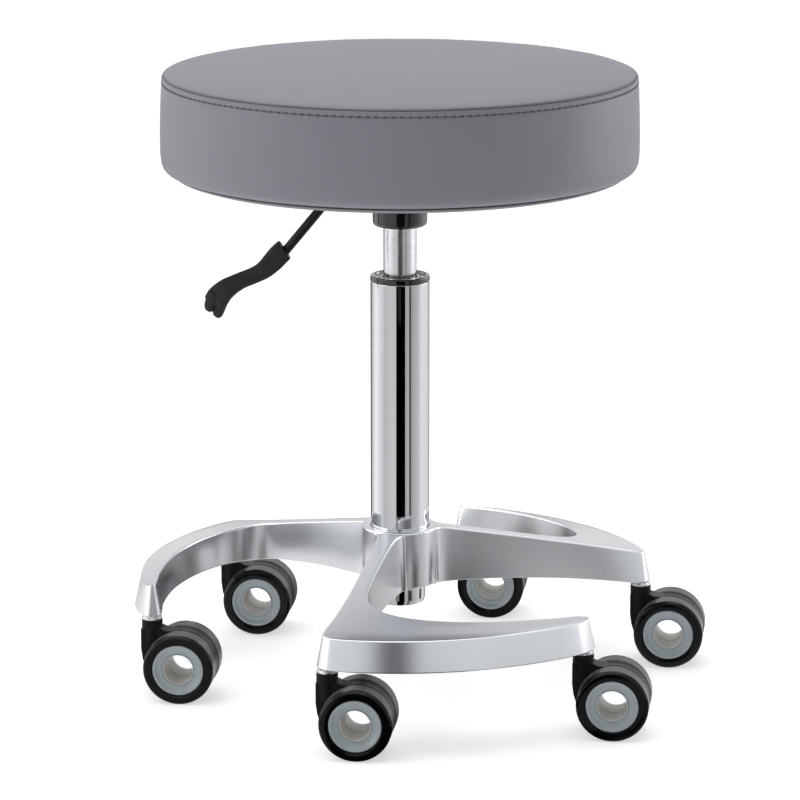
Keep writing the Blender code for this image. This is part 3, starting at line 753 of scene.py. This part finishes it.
def oblong(centre, across, deep, half_width, half_depth, sides=36):
    """A rounded-rectangle section about a centre."""
    points = []
    for k in range(sides):
        turn = math.tau * k / sides
        wide, thick = math.cos(turn), math.sin(turn)
        points.append(centre + across * half_width * math.copysign(abs(wide) ** 0.5, wide)
                      + deep * half_depth * math.copysign(abs(thick) ** 0.5, thick))
    return points


def handle_sections():
    sections = []
    run = spline(HANDLE, 5)
    for i, (x, z, width, depth, twist) in enumerate(run):
        before, after = run[max(i - 1, 0)], run[min(i + 1, len(run) - 1)]
        along = Vector((after[0] - before[0], 0.0, after[1] - before[1])).normalized()
        up_side = along.cross(Vector((0.0, 1.0, 0.0)))
        if up_side.z < 0.0:
            up_side.negate()
        lean = Matrix.Rotation(math.radians(twist), 3, along)
        across, deep = lean @ up_side, lean @ Vector((0.0, -1.0, 0.0))
        turn = math.radians(twist)
        wide = (width - depth * math.sin(turn)) / math.cos(turn)
        sections.append(oblong(Vector((x, 0.0, z)), across, deep, wide, depth))
    return sections, across, deep


class STOOL_OT_lever(bpy.types.Operator):
    """Bend the release lever's rod and mould its twisted, forked handle"""
    bl_idname = "stool.lever"
    bl_label = "Release Lever"

    def execute(self, context):
        finish = finishes(context.scene)
        bm = bmesh.new()
        bend = rounded(ROD, 10)
        sections = []
        for i, here in enumerate(bend):
            before, after = bend[max(i - 1, 0)], bend[min(i + 1, len(bend) - 1)]
            radius = ROD_TIP_R + (ROD_R - ROD_TIP_R) * min((ROD[0][1] - here.y) / ROD_TAPER, 1.0)
            side = Vector((after.y - before.y, 0.0, before.x - after.x)).normalized()
            sections.append([Vector((here.x, 0.0, here.y)) + side * radius * math.cos(turn)
                             + Vector((0.0, radius * math.sin(turn), 0.0))
                             for turn in (math.tau * k / 24 for k in range(24))])
        lofted(bm, sections)
        piece("lever_bar", as_mesh("lever_bar", bm), finish["black_paint"], "lever",
              ["lever_rod"])
        bm = bmesh.new()
        sections, across, deep = handle_sections()
        lofted(bm, sections)
        for (root_x, root_z), (end_x, end_z), half in LOBES:
            root, end = Vector((root_x, 0.0, root_z)), Vector((end_x, 0.0, end_z))
            lofted(bm, [oblong(root.lerp(end, t), across, deep, half * wide, 2.8 * thick, 24)
                        for t, wide, thick in ((-0.8, 1.0, 0.9), (0.0, 1.0, 1.0), (0.55, 0.94, 0.98),
                                               (0.85, 0.72, 0.9), (1.0, 0.4, 0.72))])
        mesh = fused(as_mesh("lever_grip", bm), 0.0006, 3)
        piece("lever_grip", mesh, finish["lever_plastic"], "lever",
              ["lever_handle"])
        return {'FINISHED'}


# ---- seat -----------------------------------------------------------------------------------
STITCH_R, STITCH_Z = 198.3, 519.5
SEAM_R, SEAM_Z = 197.3, 524.4
COVER_FOOT = low("seat_cover").z
COVER_R = SEAT_R + 1.0              # the vinyl may stand this proud of its CAD solid
BOARD_LEVEL = 0.46                  # the cover's middle is held still below this, in metres
CROWN_CAP = 6.0                     # farthest that the simulation may carry a point


def cushion_outline():
    """Half the cushion's section from the middle of its underside to the middle of its top."""
    foot = COVER_FOOT
    side = spline([
        (190.5, foot + 0.1), (195.6, foot + 1.5), (199.0, foot + 5.2), (200.3, foot + 12.0),
        (200.7, foot + 24.0), (200.6, foot + 38.0), (200.1, foot + 54.0), (199.5, foot + 66.0),
        (199.0, STITCH_Z - 2.2)], 3)
    roll = [(198.7, STITCH_Z - 0.9), (STITCH_R, STITCH_Z), (198.8, STITCH_Z + 0.9),
            (199.1, STITCH_Z + 2.2), (198.9, STITCH_Z + 3.6), (198.3, SEAM_Z - 0.7),
            (SEAM_R, SEAM_Z - 0.3), (SEAM_R - 0.5, SEAM_Z + 0.5)]
    top = spline([
        (196.4, SEAM_Z + 1.4), (194.2, SEAM_Z + 2.2), (188.0, SEAM_Z + 3.0),
        (176.0, SEAM_Z + 3.8), (150.0, SEAM_Z + 4.6), (110.0, SEAM_Z + 5.2),
        (70.0, SEAM_Z + 5.6), (30.0, SEAM_Z + 5.8), (0.0, SEAM_Z + 5.8)], 4)
    inside = high("seat_board").x + 1.6
    board_top = high("seat_board").z + 0.4
    base = [(0.0, board_top), (90.0, board_top), (inside, board_top), (inside, foot + 1.2)]
    return base + [tuple(point) for point in side] + roll + [tuple(point) for point in top]


def inflate(cushion, pressure):
    """Blow the cover up as cloth between its fixed seams, then cap and scale what moved."""
    rest = [vert.co.copy() for vert in cushion.data.vertices]
    held = cushion.vertex_groups.new(name="held")
    fixed = [vert.index for vert in cushion.data.vertices
             if vert.co.z < (COVER_FOOT + 2.0) * MM
             or Vector(vert.co[0:2]).length < 0.1 and vert.co.z < BOARD_LEVEL
             or (STITCH_Z - 0.5) * MM < vert.co.z < (SEAM_Z + 0.6) * MM]
    held.add(fixed, 1.0, 'REPLACE')
    cloth = cushion.modifiers.new("cloth", 'CLOTH')
    cloth.settings.quality = 5
    cloth.settings.mass = 0.4
    cloth.settings.tension_stiffness = 40.0
    cloth.settings.compression_stiffness = 40.0
    cloth.settings.bending_stiffness = 8.0
    cloth.settings.use_pressure = True
    cloth.settings.uniform_pressure_force = pressure
    cloth.settings.vertex_group_mass = held.name
    cloth.settings.effector_weights.gravity = 0.0
    cloth.point_cache.frame_start = 1
    cloth.point_cache.frame_end = 20
    scene = bpy.context.scene
    for number in range(1, 21):
        scene.frame_set(number)
    graph = bpy.context.evaluated_depsgraph_get()
    blown = [vert.co.copy() for vert in cushion.evaluated_get(graph).data.vertices]
    cushion.modifiers.remove(cloth)
    scene.frame_set(1)
    return rest, blown


def settle(cushion, rest, blown):
    """Keep the simulated swell, scaled so that the cushion fills its CAD solid and no more."""
    moves = [after - before for before, after in zip(rest, blown)]
    capped = [move * min(1.0, CROWN_CAP * MM / max(move.length, 1e-9)) for move in moves]
    rise = max(before.z + move.z for before, move in zip(rest, capped)) - max(v.z for v in rest)
    room = (SEAT_TOP - 0.1) * MM - max(v.z for v in rest)
    factor = min(room / max(rise, 1e-6), 3.0)
    for vert, before, move in zip(cushion.data.vertices, rest, capped):
        ripple = noise.noise(before * 26.0) * 0.0004
        outward = Vector((before.x, before.y, 0.0)).normalized()
        side = min(factor, 1.0)
        vert.co = before + Vector((move.x * side, move.y * side, move.z * factor))
        if move.length > 1e-5:
            vert.co += outward * ripple + UP * ripple * 0.6
        flat = Vector(vert.co[0:2])
        if flat.length > COVER_R * MM:
            vert.co.xy = flat * (COVER_R * MM / flat.length)


class STOOL_OT_cushion(bpy.types.Operator):
    """Inflate the boxed vinyl cushion between its seams, over the moulded pan"""
    bl_idname = "stool.cushion"
    bl_label = "Cushion"

    def execute(self, context):
        finish = finishes(context.scene)
        bm = bmesh.new()
        turned(bm, cushion_outline(), 168)
        mesh = as_mesh("cushion", bm, 180.0)
        cushion = bpy.data.objects.new("cushion", mesh)
        context.scene.collection.objects.link(cushion)
        settle(cushion, *inflate(cushion, context.scene.stool_seat.pressure))
        mesh.materials.append(finish["vinyl"])
        smooth = cushion.modifiers.new("smooth", 'SUBSURF')
        smooth.levels = 1
        smooth.render_levels = 1
        cushion.matrix_world = Matrix.Translation(AXIS)
        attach(cushion, "seat")
        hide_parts("seat_cover", "foam_pad")
        pan_r, pan_foot = high("seat_pan").x, low("seat_pan").z
        turned_piece("pan", [
            (0.0, pan_foot), (150.0, pan_foot, 20.0), (152.0, pan_foot + 0.5, 4.0),
            (181.0, pan_foot + 0.5, 20.0), (pan_r, pan_foot + 3.4, 1.2),
            (pan_r - 0.8, pan_foot + 5.2, 0.7), (184.6, pan_foot + 2.8, 2.0),
            (0.0, pan_foot + 2.5)], 168, finish["pan_plastic"], "seat",
            ["seat_pan"])
        return {'FINISHED'}


def beads(name, count, radius, height, offset, size):
    """A ring of small rounded beads, each (along, outward, up) in size, about the column."""
    bm = bmesh.new()
    for k in range(count):
        turn = Matrix.Rotation(math.tau * (k + offset) / count, 4, 'Z')
        grow = Matrix.Diagonal((size[1], size[0], size[2], 1.0))
        place = turn @ Matrix.Translation((radius, 0.0, height)) @ grow
        bmesh.ops.create_uvsphere(bm, u_segments=10, v_segments=8, radius=0.5, matrix=place)
    return as_mesh(name, bm, 180.0)


class STOOL_OT_stitching(bpy.types.Operator):
    """Sew the row of topstitches, set near-black beads between them as painted shade in the needle
    holes, and lay a dark cord in the seam's groove as painted shade of its crevice
    """
    bl_idname = "stool.stitching"
    bl_label = "Stitching"

    def execute(self, context):
        finish = finishes(context.scene)
        pitch = context.scene.stool_seat.pitch / MM
        count = round(math.tau * STITCH_R / pitch)
        thread = beads("topstitches", count, STITCH_R + 0.22, STITCH_Z, 0.5, (4.2, 1.2, 1.7))
        piece("topstitches", thread, finish["thread"], "seat")
        # Near-black beads between the stitches: painted shade inside the needle holes.
        hole_shadows = beads("needle_hole_shadows", count, STITCH_R + 0.2, STITCH_Z - 0.1, 0.0, (0.9, 0.8, 1.3))
        piece("needle_hole_shadows", hole_shadows, finish["needle_hole"], "seat")
        # A dark cord laid in the seam's groove: painted shade of the crevice between the top panel
        # and the boxing.
        bm = bmesh.new()
        turned(bm, [(SEAM_R - 0.1 + 0.55 * math.cos(turn), SEAM_Z + 0.15 + 0.55 * math.sin(turn))
                    for turn in (math.tau * k / 10 for k in range(10))], 336)
        piece("seam_shade_line", as_mesh("seam_shade_line", bm), finish["seam_thread"], "seat")
        return {'FINISHED'}


# ---- casters --------------------------------------------------------------------------------
AXLE = Vector(JOINTS["wheel_spin_1a"]["pos_m"]) - Vector(JOINTS["caster_swivel_1"]["pos_m"])
TRAIL = Vector(AXLE[0:2]).length / MM
AXLE_Z = JOINTS["wheel_spin_1a"]["pos_m"][2] / MM
WHEEL_R = AXLE_Z
POST_R, POST_TOP = 8.85, 67.5
FENDER_R, FENDER_HALF = 29.3, 7.7
TYRE_BORE, TYRE_IN, TYRE_OUT = 22.0, 8.2, 25.8
BORE_R, SLEEVE_R = 12.5, 14.6


def tyre_mesh(sides):
    bm = bmesh.new()
    turned(bm, rounded([
        (TYRE_BORE, TYRE_IN), (WHEEL_R - 0.3, TYRE_IN, 0.9), (WHEEL_R, TYRE_IN + 2.2, 0.9),
        (WHEEL_R, TYRE_OUT - 1.9, 1.8), (WHEEL_R - 2.0, TYRE_OUT, 1.6),
        (WHEEL_R - 5.2, TYRE_OUT + 0.1, 1.0), (TYRE_BORE + 0.4, TYRE_OUT - 0.3, 0.5),
        (TYRE_BORE, TYRE_OUT - 1.4)]), sides)
    return as_mesh("tyre", bm)


def hub_mesh(sides):
    """Flat rim, a concave dish, a small lip round the bore and the sleeve behind it."""
    bm = bmesh.new()
    rim = TYRE_BORE - 0.3
    turned(bm, rounded([
        (BORE_R + 0.7, 0.2), (SLEEVE_R, 0.2), (SLEEVE_R, 8.1), (rim, 9.0), (rim, 25.2, 0.7),
        (19.8, 25.2, 1.2), (17.4, 22.9, 3.0), (14.4, 22.6, 0.8), (14.1, 21.9, 0.3),
        (13.5, 21.9, 0.3), (13.3, 22.6, 0.3), (BORE_R, 22.6, 0.4), (BORE_R, 0.9)], 5), sides)
    return as_mesh("hub", bm, 50.0)


def housing_mesh(sides):
    """Ridged post, the web behind it and the grooved fender ring between the wheels."""
    bm = bmesh.new()
    turned(bm, rounded([
        (0.0, 44.0), (POST_R, 44.0, 1.0), (POST_R, POST_TOP - 4.4, 0.2),
        (POST_R - 0.35, POST_TOP - 4.0, 0.1), (POST_R - 0.35, POST_TOP - 3.4, 0.1),
        (POST_R + 0.05, POST_TOP - 3.0, 0.2), (POST_R + 0.05, POST_TOP, 0.8), (0.0, POST_TOP)]), 48)
    half = FENDER_HALF
    web = [(-POST_R + 0.2, 60.0), (POST_R - 1.0, 61.6), (13.0, 59.2),
           (TRAIL - 2.0, AXLE_Z + FENDER_R - 0.6), (TRAIL - 12.0, AXLE_Z + 22.0),
           (TRAIL - 22.0, AXLE_Z + 6.0), (TRAIL - 22.0, AXLE_Z - 8.0), (-4.6, 25.0),
           (-7.4, 34.0), (-POST_R + 0.2, 43.0)]
    centre = sum((Vector(point) for point in web), Vector((0.0, 0.0))) / len(web)
    sections = []
    for depth, shrink in ((-half, 0.97), (-half + 0.5, 0.995), (half - 0.5, 0.995), (half, 0.97)):
        sections.append([(centre.x + (x - centre.x) * shrink, depth,
                          centre.y + (z - centre.y) * shrink) for x, z in web])
    lofted(bm, sections)
    ring = bmesh.new()
    eye, groove = SLEEVE_R + 0.5, FENDER_R - 0.7
    turned(ring, rounded([
        (eye, -half, 0.5), (FENDER_R, -half, 0.7), (FENDER_R, -4.4, 0.15), (groove, -4.1, 0.1),
        (groove, -3.6, 0.1), (FENDER_R, -3.3, 0.15), (FENDER_R, 3.3, 0.15), (groove, 3.6, 0.1),
        (groove, 4.1, 0.1), (FENDER_R, 4.4, 0.15), (FENDER_R, half, 0.7), (eye, half, 0.5)], 3),
        sides)
    ring.transform(Matrix.Translation((TRAIL, 0.0, AXLE_Z))
                   @ Matrix.Rotation(math.radians(-90.0), 4, 'X'))
    part = bpy.data.meshes.new("ring")
    ring.to_mesh(part)
    ring.free()
    bm.from_mesh(part)
    bpy.data.meshes.remove(part)
    return as_mesh("housing", bm, 35.0)


def stem_mesh():
    bm = bmesh.new()
    turned(bm, rounded([
        (0.0, 46.0), (4.0, 46.0, 0.5), (4.0, 67.7), (8.6, 67.7, 0.4), (8.6, 69.5, 0.4),
        (7.4, 69.7, 0.2), (7.4, 70.9, 0.2), (4.0, 70.9), (4.0, 90.6, 0.6), (0.0, 90.6)]), 48)
    return as_mesh("stem", bm)


class STOOL_OT_casters(bpy.types.Operator):
    """Make the six twin-wheel casters: stems, housings, tyres and open hubs"""
    bl_idname = "stool.casters"
    bl_label = "Casters"

    def execute(self, context):
        finish = finishes(context.scene)
        sides = context.scene.stool_plastic.sides
        housing, tyre, hub, stem = housing_mesh(sides), tyre_mesh(sides), hub_mesh(sides), stem_mesh()
        housing.materials.append(finish["black_plastic"])
        housing.materials.append(finish["fender_plastic"])
        for face in housing.polygons:
            away = Vector((face.center.x / MM - TRAIL, face.center.z / MM - AXLE_Z)).length
            face.material_index = int(away > FENDER_R - 1.4 and face.center.x / MM > POST_R)
        for number in CASTERS:
            swivel = Vector(JOINTS[f"caster_swivel_{number}"]["pos_m"])
            swivel.z = 0.0
            axle = Vector(JOINTS[f"wheel_spin_{number}a"]["pos_m"])
            back = Vector((axle.x - swivel.x, axle.y - swivel.y, 0.0)).normalized()
            side = UP.cross(back)
            upright = Matrix((back, side, UP)).transposed().to_4x4()
            piece(f"stem_{number}", stem, finish["steel"], "base",
                  [f"caster_stem_{number}"], Matrix.Translation(swivel))
            piece(f"housing_{number}", housing, None, f"caster_{number}",
                  [f"caster_housing_{number}"], Matrix.Translation(swivel) @ upright)
            for letter in "ab":
                lowest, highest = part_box(f"tyre_{number}{letter}")
                outward = side if ((lowest + highest) / 2.0 - axle).dot(side) > 0.0 else -side
                face = Matrix((back, outward.cross(back), outward)).transposed().to_4x4()
                place = Matrix.Translation(axle) @ face
                body = f"wheel_{number}{letter}"
                piece(f"wheel_tyre_{number}{letter}", tyre, finish["tyre"], body,
                      [f"tyre_{number}{letter}"], place)
                piece(f"wheel_hub_{number}{letter}", hub, finish["hub_plastic"], body,
                      [f"hub_{number}{letter}"], place)
        return {'FINISHED'}


# ---- fittings that keep their CAD shape -------------------------------------------------------
FITTINGS = {
    "seat_plate": "black_paint", "lever_pin": "steel", "plate_bolt_1": "steel",
    "plate_bolt_2": "steel", "plate_bolt_3": "steel", "plate_bolt_4": "steel",
    "guide_bush": "black_plastic", "thrust_bearing": "steel", "piston_rod": "satin_steel",
    "rod_clip": "steel", "rubber_bumper": "rubber", "valve_pin": "steel", "seat_board": "plywood",
}


class STOOL_OT_fittings(bpy.types.Operator):
    """Give the mechanism's CAD pieces their finishes"""
    bl_idname = "stool.fittings"
    bl_label = "Fittings"

    def execute(self, context):
        finish = finishes(context.scene)
        for name, kind in FITTINGS.items():
            slots = frame["nodes"][name].data.materials
            slots.clear()
            slots.append(finish[kind])
        return {'FINISHED'}


# ---- stage ----------------------------------------------------------------------------------
def board(name, corners, finish):
    """A flat four-cornered stage piece."""
    mesh = bpy.data.meshes.new(name)
    mesh.from_pydata(corners, [], [(0, 1, 2, 3)])
    mesh.materials.append(finish)
    thing = bpy.data.objects.new(name, mesh)
    bpy.context.scene.collection.objects.link(thing)
    return thing


def plain(name, value, glow=0.0):
    """An even matt surface, which glows a little where the floor is lit from beneath."""
    made = Finish(name, specular_ior_level=0.0, roughness=1.0, emission_strength=glow)
    made.set("Base Color", value)
    made.set("Emission Color", value)
    return made.material


def streaked_disc(name, reach, stops):
    """A disc on the floor round the column, seen only in mirrors, toned by bearing.

    The stops are (bearing in degrees from the front, tone); they give the polished tubes their
    dark and bright streaks."""
    made = Finish(name, specular_ior_level=0.0, roughness=1.0, emission_strength=GLOW)
    bearing = made.along(0).math('ARCTAN2', made.along(0), made.along(1) * -1.0)
    tone = made.ramp(bearing * (0.5 / math.pi) + 0.5,
                     *[(degrees / 360.0 + 0.5, shade) for degrees, shade in stops])
    made.set("Base Color", tone)
    made.set("Emission Color", tone)
    sides = 120
    rim = [(*polar(reach, 360.0 * k / sides), 0.0) for k in range(sides)]
    mesh = bpy.data.meshes.new(name)
    mesh.from_pydata(rim, [], [range(sides)])
    mesh.materials.append(made.material)
    thing = bpy.data.objects.new(name, mesh)
    thing.location = (AXIS.x, AXIS.y, 0.001)
    bpy.context.scene.collection.objects.link(thing)
    mirrored_only(thing)


def upright(name, start, end, height, tone, glow):
    """An upright board from one floor point to another, in metres from the column's axis."""
    corners = [(AXIS.x + x, AXIS.y + y, z) for (x, y), z in
               ((start, 0.0), (end, 0.0), (end, height), (start, height))]
    mirrored_only(board(name, corners, plain(name, (tone, tone, tone), glow)))


def mirrored_only(thing):
    thing.visible_camera = False
    thing.visible_diffuse = False
    thing.visible_shadow = False


def studio_world(strength, surround):
    """Dim surroundings that light the stool a little, seen and mirrored as a pale backdrop."""
    world = bpy.data.worlds.new("studio")
    world.use_nodes = True
    tree = world.node_tree
    nodes, links = tree.nodes, tree.links
    dim = nodes["Background"]
    kind = nodes.new('ShaderNodeLightPath')
    shaders = []
    for tint, power in (((0.96, 0.98, 1.0), surround), ((0.94, 0.94, 0.95), 1.0)):
        backdrop = nodes.new('ShaderNodeBackground')
        backdrop.inputs["Color"].default_value = (*tint, 1.0)
        backdrop.inputs["Strength"].default_value = power
        shaders.append(backdrop)
    dim.inputs["Color"].default_value = (0.96, 0.98, 1.0, 1.0)
    dim.inputs["Strength"].default_value = strength
    result = dim
    for ray, backdrop in zip(("Is Glossy Ray", "Is Camera Ray"), shaders):
        either = nodes.new('ShaderNodeMixShader')
        links.new(kind.outputs[ray], either.inputs[0])
        links.new(result.outputs[0], either.inputs[1])
        links.new(backdrop.outputs[0], either.inputs[2])
        result = either
    links.new(result.outputs[0], nodes["World Output"].inputs["Surface"])
    return world


def softbox(name, place, target, size, power):
    light = bpy.data.lights.new(name, 'AREA')
    light.shape = 'RECTANGLE'
    light.size, light.size_y = size
    light.energy = power
    thing = bpy.data.objects.new(name, light)
    bpy.context.scene.collection.objects.link(thing)
    thing.location = place
    thing.rotation_euler = (Vector(target) - Vector(place)).to_track_quat('-Z', 'Y').to_euler()
    thing.visible_camera = False
    return thing


GLOW = 0.6                          # strength of the light that the floor and its disc give off
STREAK_REACH = 3.375                # radius of the disc in metres
# Streaks that the polished tube and the cylinder above it mirror: bearing and tone.
COLUMN_STREAKS = [
    (-180, 0.10), (-152, 0.04), (-138, 0.50), (-108, 0.92), (-58, 0.47), (-48, 0.55), (-15, 0.60),
    (-14, 0.0), (20, 0.0), (21, 0.46), (36, 0.44), (37, 0.03), (42, 0.03), (44, 0.38), (75, 0.55),
    (92, 0.78), (130, 0.70), (152, 0.35), (180, 0.10)]

# Upright boards seen only in mirrors: name, floor points, height, tone and glow.
MIRRORED = [
    ("gap", (-0.215, -1.5), (0.125, -1.5), 0.75, 0.02, 0.0),
    ("backdrop", (-6.0, 6.0), (6.0, 6.0), 5.5, 0.68, 0.75),
    ("right_wing", (2.6, -0.3), (2.9, 2.2), 1.4, 1.0, 1.5),
    ("left_wing", (-2.6, -0.3), (-2.9, 2.2), 1.4, 1.0, 1.2),
]


class STOOL_OT_stage(bpy.types.Operator):
    """Set the pale floor, the soft light and the camera"""
    bl_idname = "stool.stage"
    bl_label = "Stage"

    def execute(self, context):
        stage = context.scene.stool_stage
        context.scene.view_settings.view_transform = 'Standard'
        context.scene.world = studio_world(stage.ambient, stage.surround)
        reach = 9.0
        board("floor", [(-reach, -reach, 0.0), (reach, -reach, 0.0), (reach, reach, 0.0),
                        (-reach, reach, 0.0)], plain("floor", stage.floor, GLOW))
        streaked_disc("column_sweep", STREAK_REACH, COLUMN_STREAKS)
        for details in MIRRORED:
            upright(*details)
        aim = (AXIS.x, AXIS.y, 0.35)
        softbox("overhead", (AXIS.x - 0.3, AXIS.y + 0.2, 3.0), aim, (4.0, 4.0), stage.overhead)
        back = softbox("back", (AXIS.x, AXIS.y + 5.6, 2.7), aim, (9.0, 5.4), stage.back)
        back.visible_glossy = False
        softbox("side", (AXIS.x - 2.6, AXIS.y - 1.1, 0.9), aim, (1.5, 2.0), stage.side)
        softbox("rim", (AXIS.x + 2.6, AXIS.y + 1.2, 0.9), aim, (1.2, 1.6), stage.rim)
        camera = bpy.data.cameras.new("camera")
        camera.lens = stage.lens
        camera.sensor_width = 36.0
        camera.clip_start = 0.05
        thing = bpy.data.objects.new("camera", camera)
        context.scene.collection.objects.link(thing)
        thing.location = (AXIS.x, AXIS.y - stage.distance, stage.height)
        thing.rotation_euler = (stage.tilt, 0.0, 0.0)
        context.scene.camera = thing
        return {'FINISHED'}


# ---- add-on ---------------------------------------------------------------------------------
OPERATORS = (STOOL_OT_cast_base, STOOL_OT_column, STOOL_OT_lever, STOOL_OT_cushion,
             STOOL_OT_stitching, STOOL_OT_casters, STOOL_OT_fittings, STOOL_OT_stage)


class STOOL_PT_panel(bpy.types.Panel):
    """Sidebar panel with the stool's settings and steps"""
    bl_idname = "STOOL_PT_panel"
    bl_label = "Pedicure Stool"
    bl_space_type = 'VIEW_3D'
    bl_region_type = 'UI'
    bl_category = "Stool"

    def draw(self, context):
        for group in GROUPS:
            box = self.layout.box()
            settings = getattr(context.scene, GROUPS[group])
            for name in group.__annotations__:
                box.prop(settings, name)
        for operator in OPERATORS:
            self.layout.operator(operator.bl_idname)


GROUPS = {SeatSettings: "stool_seat", MetalSettings: "stool_metal",
          PlasticSettings: "stool_plastic", StageSettings: "stool_stage"}


def register():
    for kind in (*GROUPS, *OPERATORS, STOOL_PT_panel):
        bpy.utils.register_class(kind)
    for group, name in GROUPS.items():
        setattr(bpy.types.Scene, name, PointerProperty(type=group))


def unregister():
    for name in GROUPS.values():
        delattr(bpy.types.Scene, name)
    for kind in reversed((*GROUPS, *OPERATORS, STOOL_PT_panel)):
        bpy.utils.unregister_class(kind)


def main():
    register()
    bpy.ops.stool.cast_base()
    bpy.ops.stool.column()
    bpy.ops.stool.lever()
    bpy.ops.stool.cushion()
    bpy.ops.stool.stitching()
    bpy.ops.stool.casters()
    bpy.ops.stool.fittings()
    bpy.ops.stool.stage()
    bpy.context.view_layer.update()


if __name__ == "__main__":
    main()
